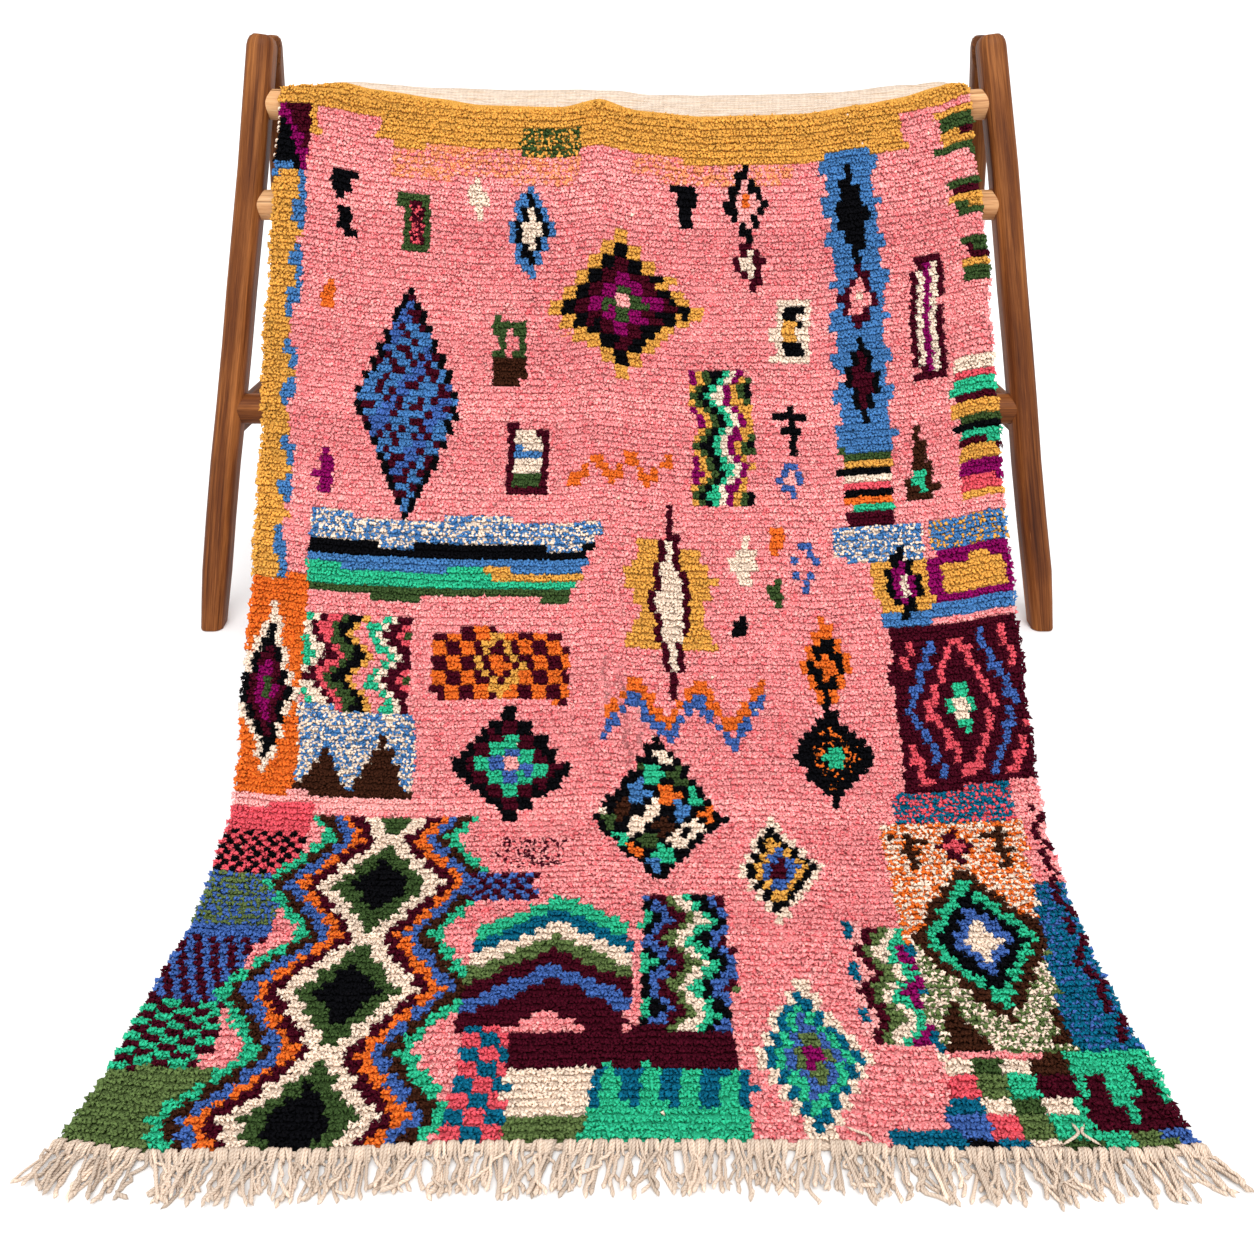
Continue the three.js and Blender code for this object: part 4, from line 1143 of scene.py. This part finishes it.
BUNCHES = 70
STRANDS_PER_BUNCH = 5
BUNCH_INSET = 0.012
STRAND_RADIUS = 0.0025
STRAND_LENGTH = 0.088
STRAND_SPREAD = 0.016
STRAND_FAN = 0.080  # turn between neighbouring strands of a bunch
STRAND_LAYERS = dict(heights=[0.0025, 0.0064, 0.0102], parts=[0.52, 0.32, 0.16])
STRAND_ENDS = [1.15, 1.3]  # the plies spread at the cut end
CORNER_FAN = math.radians(34)
CORNER_REACH = 0.150
CORD = dict(radius=0.0030, ply=0.0028, out=0.0062, height=0.0060, pitch=0.030, step=0.005)
# A strand's way over the cord: distance out from the hem, height of its middle and its place in the bunch
OVER_CORD = [
    dict(out=-0.004, height=0.0045, pitch=0.0029), dict(out=0.000, height=0.0112, pitch=0.0030),
    dict(out=0.0068, height=0.0146, pitch=0.0029), dict(out=0.0145, height=0.0110, pitch=0.0026),
    dict(out=0.0215, height=0.0064, pitch=0.0022),
]
FLOOR_STATIONS = 12
STRAYS = [
    dict(x=0.585, turn=0.5, length=0.052, bend=0.016), dict(x=0.640, turn=-0.25, length=0.046, bend=-0.014),
    dict(x=0.330, turn=-0.9, length=0.040, bend=0.010),
]
STRAY_HEIGHT = 0.0155
NEARLY_UP = [0.0, 0.02, 1.0]
FRINGE_RUN = np.array(2.47)
FRINGE_LEFT = float(side_reach(FRINGE_RUN, -1))
FRINGE_RIGHT = float(side_reach(FRINGE_RUN, 1))


def hem_place(x):
    return HEM_Y + eased(HEM, "x", "back", x)


def make_strands(material, chance):
    """Bunches of warp ends looped over the cord, each splaying out over the floor"""
    count = BUNCHES * STRANDS_PER_BUNCH
    bunch = np.repeat(np.arange(BUNCHES), STRANDS_PER_BUNCH)
    place = np.tile(np.arange(STRANDS_PER_BUNCH), BUNCHES) - (STRANDS_PER_BUNCH - 1) / 2
    pitch = (FRINGE_LEFT + FRINGE_RIGHT - 2 * BUNCH_INSET) / (BUNCHES - 1)
    middle = pitch * (np.arange(BUNCHES) + chance.normal(0, 0.10, BUNCHES)) - FRINGE_LEFT + BUNCH_INSET
    near_left = np.clip(1 - (middle + FRINGE_LEFT) / CORNER_REACH, 0, 1)
    near_right = np.clip(1 - (FRINGE_RIGHT - middle) / CORNER_REACH, 0, 1)
    turn = CORNER_FAN * (near_right ** 2 - near_left ** 2) + chance.normal(0, 0.13, BUNCHES)
    heading = turn[bunch] + place * STRAND_FAN + chance.normal(0, 0.09, count)
    reach = STRAND_LENGTH + chance.normal(0, 0.005, BUNCHES)
    length = reach[bunch] + STRAND_SPREAD * np.clip(chance.normal(0, 0.5, count), -1.2, 1.0)
    wave = chance.normal(0, 0.0065, count)
    phase = chance.uniform(0, TURN, count)
    lie = chance.choice(STRAND_LAYERS["heights"], count, p=STRAND_LAYERS["parts"])
    out, height, beside, drift = [], [], [], []
    for step in OVER_CORD:
        out.append(np.full(count, step["out"]))
        height.append(step["height"] + 0.0010 * np.cos(place * 2.2))
        beside.append(place * step["pitch"])
        drift.append(np.zeros(count))
    last = OVER_CORD[-1]
    for index in range(1, FLOOR_STATIONS + 1):
        share = index / FLOOR_STATIONS
        out.append(last["out"] + (length - last["out"]) * share)
        height.append(lie + 0.0030 * (1 - share) + 0.0014 * np.sin(phase + 5 * share))
        beside.append(place * last["pitch"])
        curl = 0.30 * wave * np.sin(11 * share + phase) + 0.16 * wave * np.sin(23 * share + 2 * phase)
        drift.append(wave * (np.sin(3.4 * share + phase) - np.sin(phase)) + curl)
    out, height, beside, drift = (np.stack(values, axis=1) for values in (out, height, beside, drift))
    cos, sin = np.cos(heading)[:, None], np.sin(heading)[:, None]
    x = middle[bunch][:, None] + beside + sin * np.maximum(out, 0) + cos * drift
    forward = cos * out - sin * drift
    radii = np.tile(STRAND_RADIUS * (1 + chance.normal(0, 0.10, count))[:, None], (1, x.shape[1]))
    radii[:, -3:-1] *= STRAND_ENDS
    start = hem_place(middle[bunch])[:, None]
    paths = np.stack([x, start - forward, np.maximum(height, radii)], axis=2)
    colour = linear(YARNS["ecru"]) * (1 + chance.normal(0, 0.12, count))[:, None]
    return undyed_yarns("fringe_strands", paths, radii, alike(NEARLY_UP, count), colour, 5, material)


def make_cord(material):
    """The cord of three plies along the hem"""
    along = np.arange(-FRINGE_LEFT, FRINGE_RIGHT, CORD["step"])
    plies = []
    for ply in range(3):
        angle = TURN * (along / CORD["pitch"] + ply / 3)
        plies.append(np.stack([
            along,
            hem_place(along) - CORD["out"] - CORD["ply"] * np.cos(angle),
            CORD["height"] + CORD["ply"] * np.sin(angle)], axis=1))
    colour = alike(linear(YARNS["ecru"]), 3)
    return undyed_yarns("fringe_cord", np.stack(plies), CORD["radius"], alike(NEARLY_UP, 3), colour, 6,
                        material)


def make_strays(material):
    """Single warp ends that lie back over the pile"""
    share = np.linspace(0, 1, 9)
    strays = []
    for stray in STRAYS:
        reach = stray["length"] * share
        x = stray["x"] + reach * math.sin(stray["turn"]) + stray["bend"] * np.sin(math.pi * share)
        back = hem_run(x) - reach * math.cos(stray["turn"])
        strays.append(lay(x, back, STRAY_HEIGHT + 0.002 * np.sin(6 * share)))
    count = len(STRAYS)
    colour = alike(linear(YARNS["ecru"]), count)
    return undyed_yarns("fringe_strays", np.stack(strays), STRAND_RADIUS, alike(NEARLY_UP, count), colour, 4,
                        material)


# Stand


def leg_axes(leg, side):
    """Foot, length and turn of a leg whose own Z runs up its middle"""
    foot = leg_place(leg, 0, side)
    top = leg_place(leg, leg["height"], side)
    along = (top - foot).normalized()
    across = Vector((1, 0, 0))
    across = (across - along * across.dot(along)).normalized()
    back = along.cross(across)
    turn = Matrix((across, back, along)).transposed().to_4x4()
    return foot, (top - foot).length, turn


def keep_grain(bm, shift):
    """Remembers each corner's place along and across the piece, for its grain, set over by a step"""
    layer = bm.verts.layers.float_vector.new("grain")
    for vertex in bm.verts:
        vertex[layer] = vertex.co + Vector(shift)


def slice_at(bm, place, normal=(0, 0, 1), take_off=False):
    """Cuts across a piece; the part behind the cut can be taken off and the end closed"""
    made = bmesh.ops.bisect_plane(
        bm, geom=list(bm.verts) + list(bm.edges) + list(bm.faces), dist=1e-6,
        plane_co=place, plane_no=normal, clear_inner=take_off)
    if take_off:
        edges = [item for item in made["geom_cut"] if isinstance(item, bmesh.types.BMEdge)]
        bmesh.ops.holes_fill(bm, edges=edges, sides=0)


def round_off(bm, edges, radius, segments):
    bmesh.ops.bevel(bm, geom=edges, offset=radius, offset_type="OFFSET", segments=segments,
                    profile=0.5, affect="EDGES", material=-1)


def square_bar(width, depth, length):
    """A sawn bar along Z about its middle, and its four long edges"""
    bm = bmesh.new()
    bmesh.ops.create_cube(bm, size=1.0)
    bmesh.ops.scale(bm, vec=(width, depth, length), verts=bm.verts)
    return bm, [edge for edge in bm.edges if abs(edge.verts[0].co.z - edge.verts[1].co.z) > length / 2]


def finish_wood(bm, name, node, material):
    mesh = mesh_of(bm, name)
    mesh.set_sharp_from_angle(angle=SHARP_FROM)
    piece = finish_piece(name, mesh, material)
    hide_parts(node)


SHARP_FROM = math.radians(38)
END_ROUNDING = 0.004
LEG_SLICES = 8
RUNG_SLICES = 24


def make_leg(name, node, leg, side, material, grain_shift):
    foot, length, turn = leg_axes(leg, side)
    bm, corners = square_bar(leg["width"], leg["depth"], length + LEG_SLACK)
    bmesh.ops.translate(bm, vec=(0, 0, (length - LEG_SLACK) / 2), verts=bm.verts)
    round_off(bm, corners, LEG_CORNER * leg["width"], 6)
    heights = [step["above"] for step in FOOT] + [length - step["below"] for step in TOP]
    shares = [step["share"] for step in FOOT + TOP]
    for height in heights[:-1] + list(np.linspace(0.25, length - 0.15, LEG_SLICES)):
        slice_at(bm, (0, 0, height))
    keep_grain(bm, grain_shift)
    for vertex in bm.verts:
        share = float(np.interp(vertex.co.z, heights, shares))
        low = vertex.co.z < FOOT[-1]["above"]
        vertex.co.x *= share
        vertex.co.y *= (1 + share) / 2 if low else share
        if low:
            vertex.co.x -= side * 0.35 * (1 - share) * leg["width"]
        else:
            sway = 0.0016 * math.sin(vertex.co.z * 5.1 + 3 * side) + 0.0009 * math.sin(vertex.co.z * 13.7)
            vertex.co.x += sway
    rim = [edge for edge in bm.edges if min(v.co.z for v in edge.verts) > length - 1e-4]
    round_off(bm, rim, END_ROUNDING, 3)
    bmesh.ops.transform(bm, matrix=Matrix.Translation(foot) @ turn, verts=bm.verts)
    slice_at(bm, (0, 0, 0), take_off=True)
    sole = [edge for edge in bm.edges if max(v.co.z for v in edge.verts) < 1e-5]
    round_off(bm, sole, END_ROUNDING, 2)
    if leg is REAR_LEG:
        seat_foot, _, seat_turn = leg_axes(FRONT_LEG, side)
        normal = seat_turn.to_3x3() @ Vector((0, 1, 0))
        slice_at(bm, seat_foot + normal * (FRONT_LEG["depth"] / 2 + SEAT_GAP), normal, take_off=True)
    bmesh.ops.translate(bm, vec=(0, HEM_Y, 0), verts=bm.verts)
    finish_wood(bm, name, node, material)


def make_rung(rung, material):
    half = rung_half(rung)
    centre = leg_place(rung["leg"], rung["z"])
    bm = bmesh.new()
    bmesh.ops.create_cone(bm, cap_ends=True, segments=40, radius1=rung["radius"], radius2=rung["radius"],
                          depth=2 * half)
    for height in np.linspace(-half, half, RUNG_SLICES + 2)[1:-1]:
        slice_at(bm, (0, 0, height))
    keep_grain(bm, (rung["z"] * 3, 0.1, rung["z"] * 7))
    for vertex in bm.verts:
        along = vertex.co.z
        swell = 1 + 0.010 * math.sin(along * 7.3 + rung["z"] * 9) + 0.006 * math.sin(along * 23.0)
        drop = rung["bow"] * (1 - (along / half) ** 2)
        vertex.co = Vector((
            along, centre.y + HEM_Y + vertex.co.y * swell, rung["z"] - drop + vertex.co.x * swell))
    finish_wood(bm, rung["piece"], rung["node"], material)


def make_stretcher(name, node, side, material):
    front = leg_place(FRONT_LEG, STRETCHER["z"], side)
    rear = leg_place(REAR_LEG, STRETCHER["z"], side)
    along = (rear - front).normalized()
    start = front + along * (FRONT_LEG["depth"] / 2 - TENON)
    stop = rear - along * (REAR_LEG["depth"] / 2 - TENON)
    bm, corners = square_bar(STRETCHER["thickness"], STRETCHER["height"], (stop - start).length)
    round_off(bm, corners, STRETCHER["corner"], 4)
    keep_grain(bm, (0.3 * side, 0.2, 0.7))
    up = Vector((0, 0, 1))
    turn = Matrix((up.cross(along), up, along)).transposed().to_4x4()
    middle = (start + stop) / 2 + Vector((side * STRETCHER["outward"], HEM_Y, 0))
    bmesh.ops.transform(bm, matrix=Matrix.Translation(middle) @ turn, verts=bm.verts)
    finish_wood(bm, name, node, material)


def make_stand():
    legs = wood_material("leg wood", (0.28, 0.125, 0.042), (0.43, 0.235, 0.092), (0.68, 0.43, 0.22))
    # a slightly darker copy of the leg wood for the rear legs and side bars: painted shade for the parts
    # that stand further back
    rear_wood_shaded = wood_material("rear leg wood", (0.25, 0.11, 0.037), (0.40, 0.22, 0.086), (0.64, 0.41, 0.21))
    rungs = wood_material("rung wood", (0.66, 0.45, 0.28), (0.82, 0.62, 0.43), (0.92, 0.78, 0.60))
    for side, word in ((-1, "left"), (1, "right")):
        front_grain = (0.2 * side, 0.0, 0.4 * side)
        rear_grain = (0.5 * side, 0.3, 1.3 * side)
        make_leg(f"front_leg_{word}", f"leg_front_{word}", FRONT_LEG, side, legs, front_grain)
        make_leg(f"rear_leg_{word}", f"leg_rear_{word}", REAR_LEG, side, rear_wood_shaded, rear_grain)
        make_stretcher(f"side_bar_{word}", f"stretcher_{word}", side, rear_wood_shaded)
    for index, rung in enumerate(RUNGS):
        lower = rung["node"] == "rung_lower"
        make_rung(rung, legs if lower else rungs)


# Camera, light and floor

CAMERA_BACK = 1.656  # in front of the hem line
CAMERA_HEIGHT = 1.560
CAMERA_PITCH = math.radians(25.0)
FOCAL_SHARE = 1600 / 1254  # focal length against the width of the picture
SENSOR = 36.0
STUDIO_STRENGTH = 1.02
KEY_TURN = (math.radians(37), 0, math.radians(6))
KEY_STRENGTH = 2.25
KEY_SPREAD = math.radians(36)
FLOOR_HALF = 30.0


def make_camera():
    data = bpy.data.cameras.new("camera")
    data.sensor_width = SENSOR
    data.lens = SENSOR * FOCAL_SHARE
    camera = bpy.data.objects.new("camera", data)
    bpy.context.scene.collection.objects.link(camera)
    camera.location = (0, HEM_Y - CAMERA_BACK, CAMERA_HEIGHT)
    camera.rotation_euler = (math.pi / 2 - CAMERA_PITCH, 0, 0)
    bpy.context.scene.camera = camera


def soft_light(name, turn, strength, spread):
    """Light from far away through a large white screen"""
    data = bpy.data.lights.new(name, "SUN")
    data.energy = strength
    data.angle = spread
    lamp = bpy.data.objects.new(name, data)
    bpy.context.scene.collection.objects.link(lamp)
    lamp.rotation_euler = turn


def make_studio():
    bm = bmesh.new()
    bmesh.ops.create_grid(bm, x_segments=1, y_segments=1, size=FLOOR_HALF)
    floor = bpy.data.objects.new("floor", mesh_of(bm, "floor"))
    bpy.context.scene.collection.objects.link(floor)
    floor.data.materials.append(floor_material())
    world = bpy.data.worlds.new("studio")
    world.use_nodes = True
    world.node_tree.nodes["Background"].inputs["Color"].default_value = (1.0, 1.0, 1.0, 1.0)
    world.node_tree.nodes["Background"].inputs["Strength"].default_value = STUDIO_STRENGTH
    bpy.context.scene.world = world
    soft_light("key", KEY_TURN, KEY_STRENGTH, KEY_SPREAD)
    bpy.context.scene.view_settings.view_transform = "Standard"


make_camera()
make_studio()
make_stand()
chance = np.random.default_rng(SEED)
chart = chart_rug(*knot_grid(), chance)
pile_wool = pile_material()
weave = make_weave(chart, pile_wool, chance)
pile = make_pile(chart, pile_wool, chance)
fringe_wool = cord_material()
fringe = [make_strands(fringe_wool, chance), make_cord(fringe_wool), make_strays(fringe_wool)]
binding = make_binding(fringe_wool, chance)
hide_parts("rug")
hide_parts("fringe")
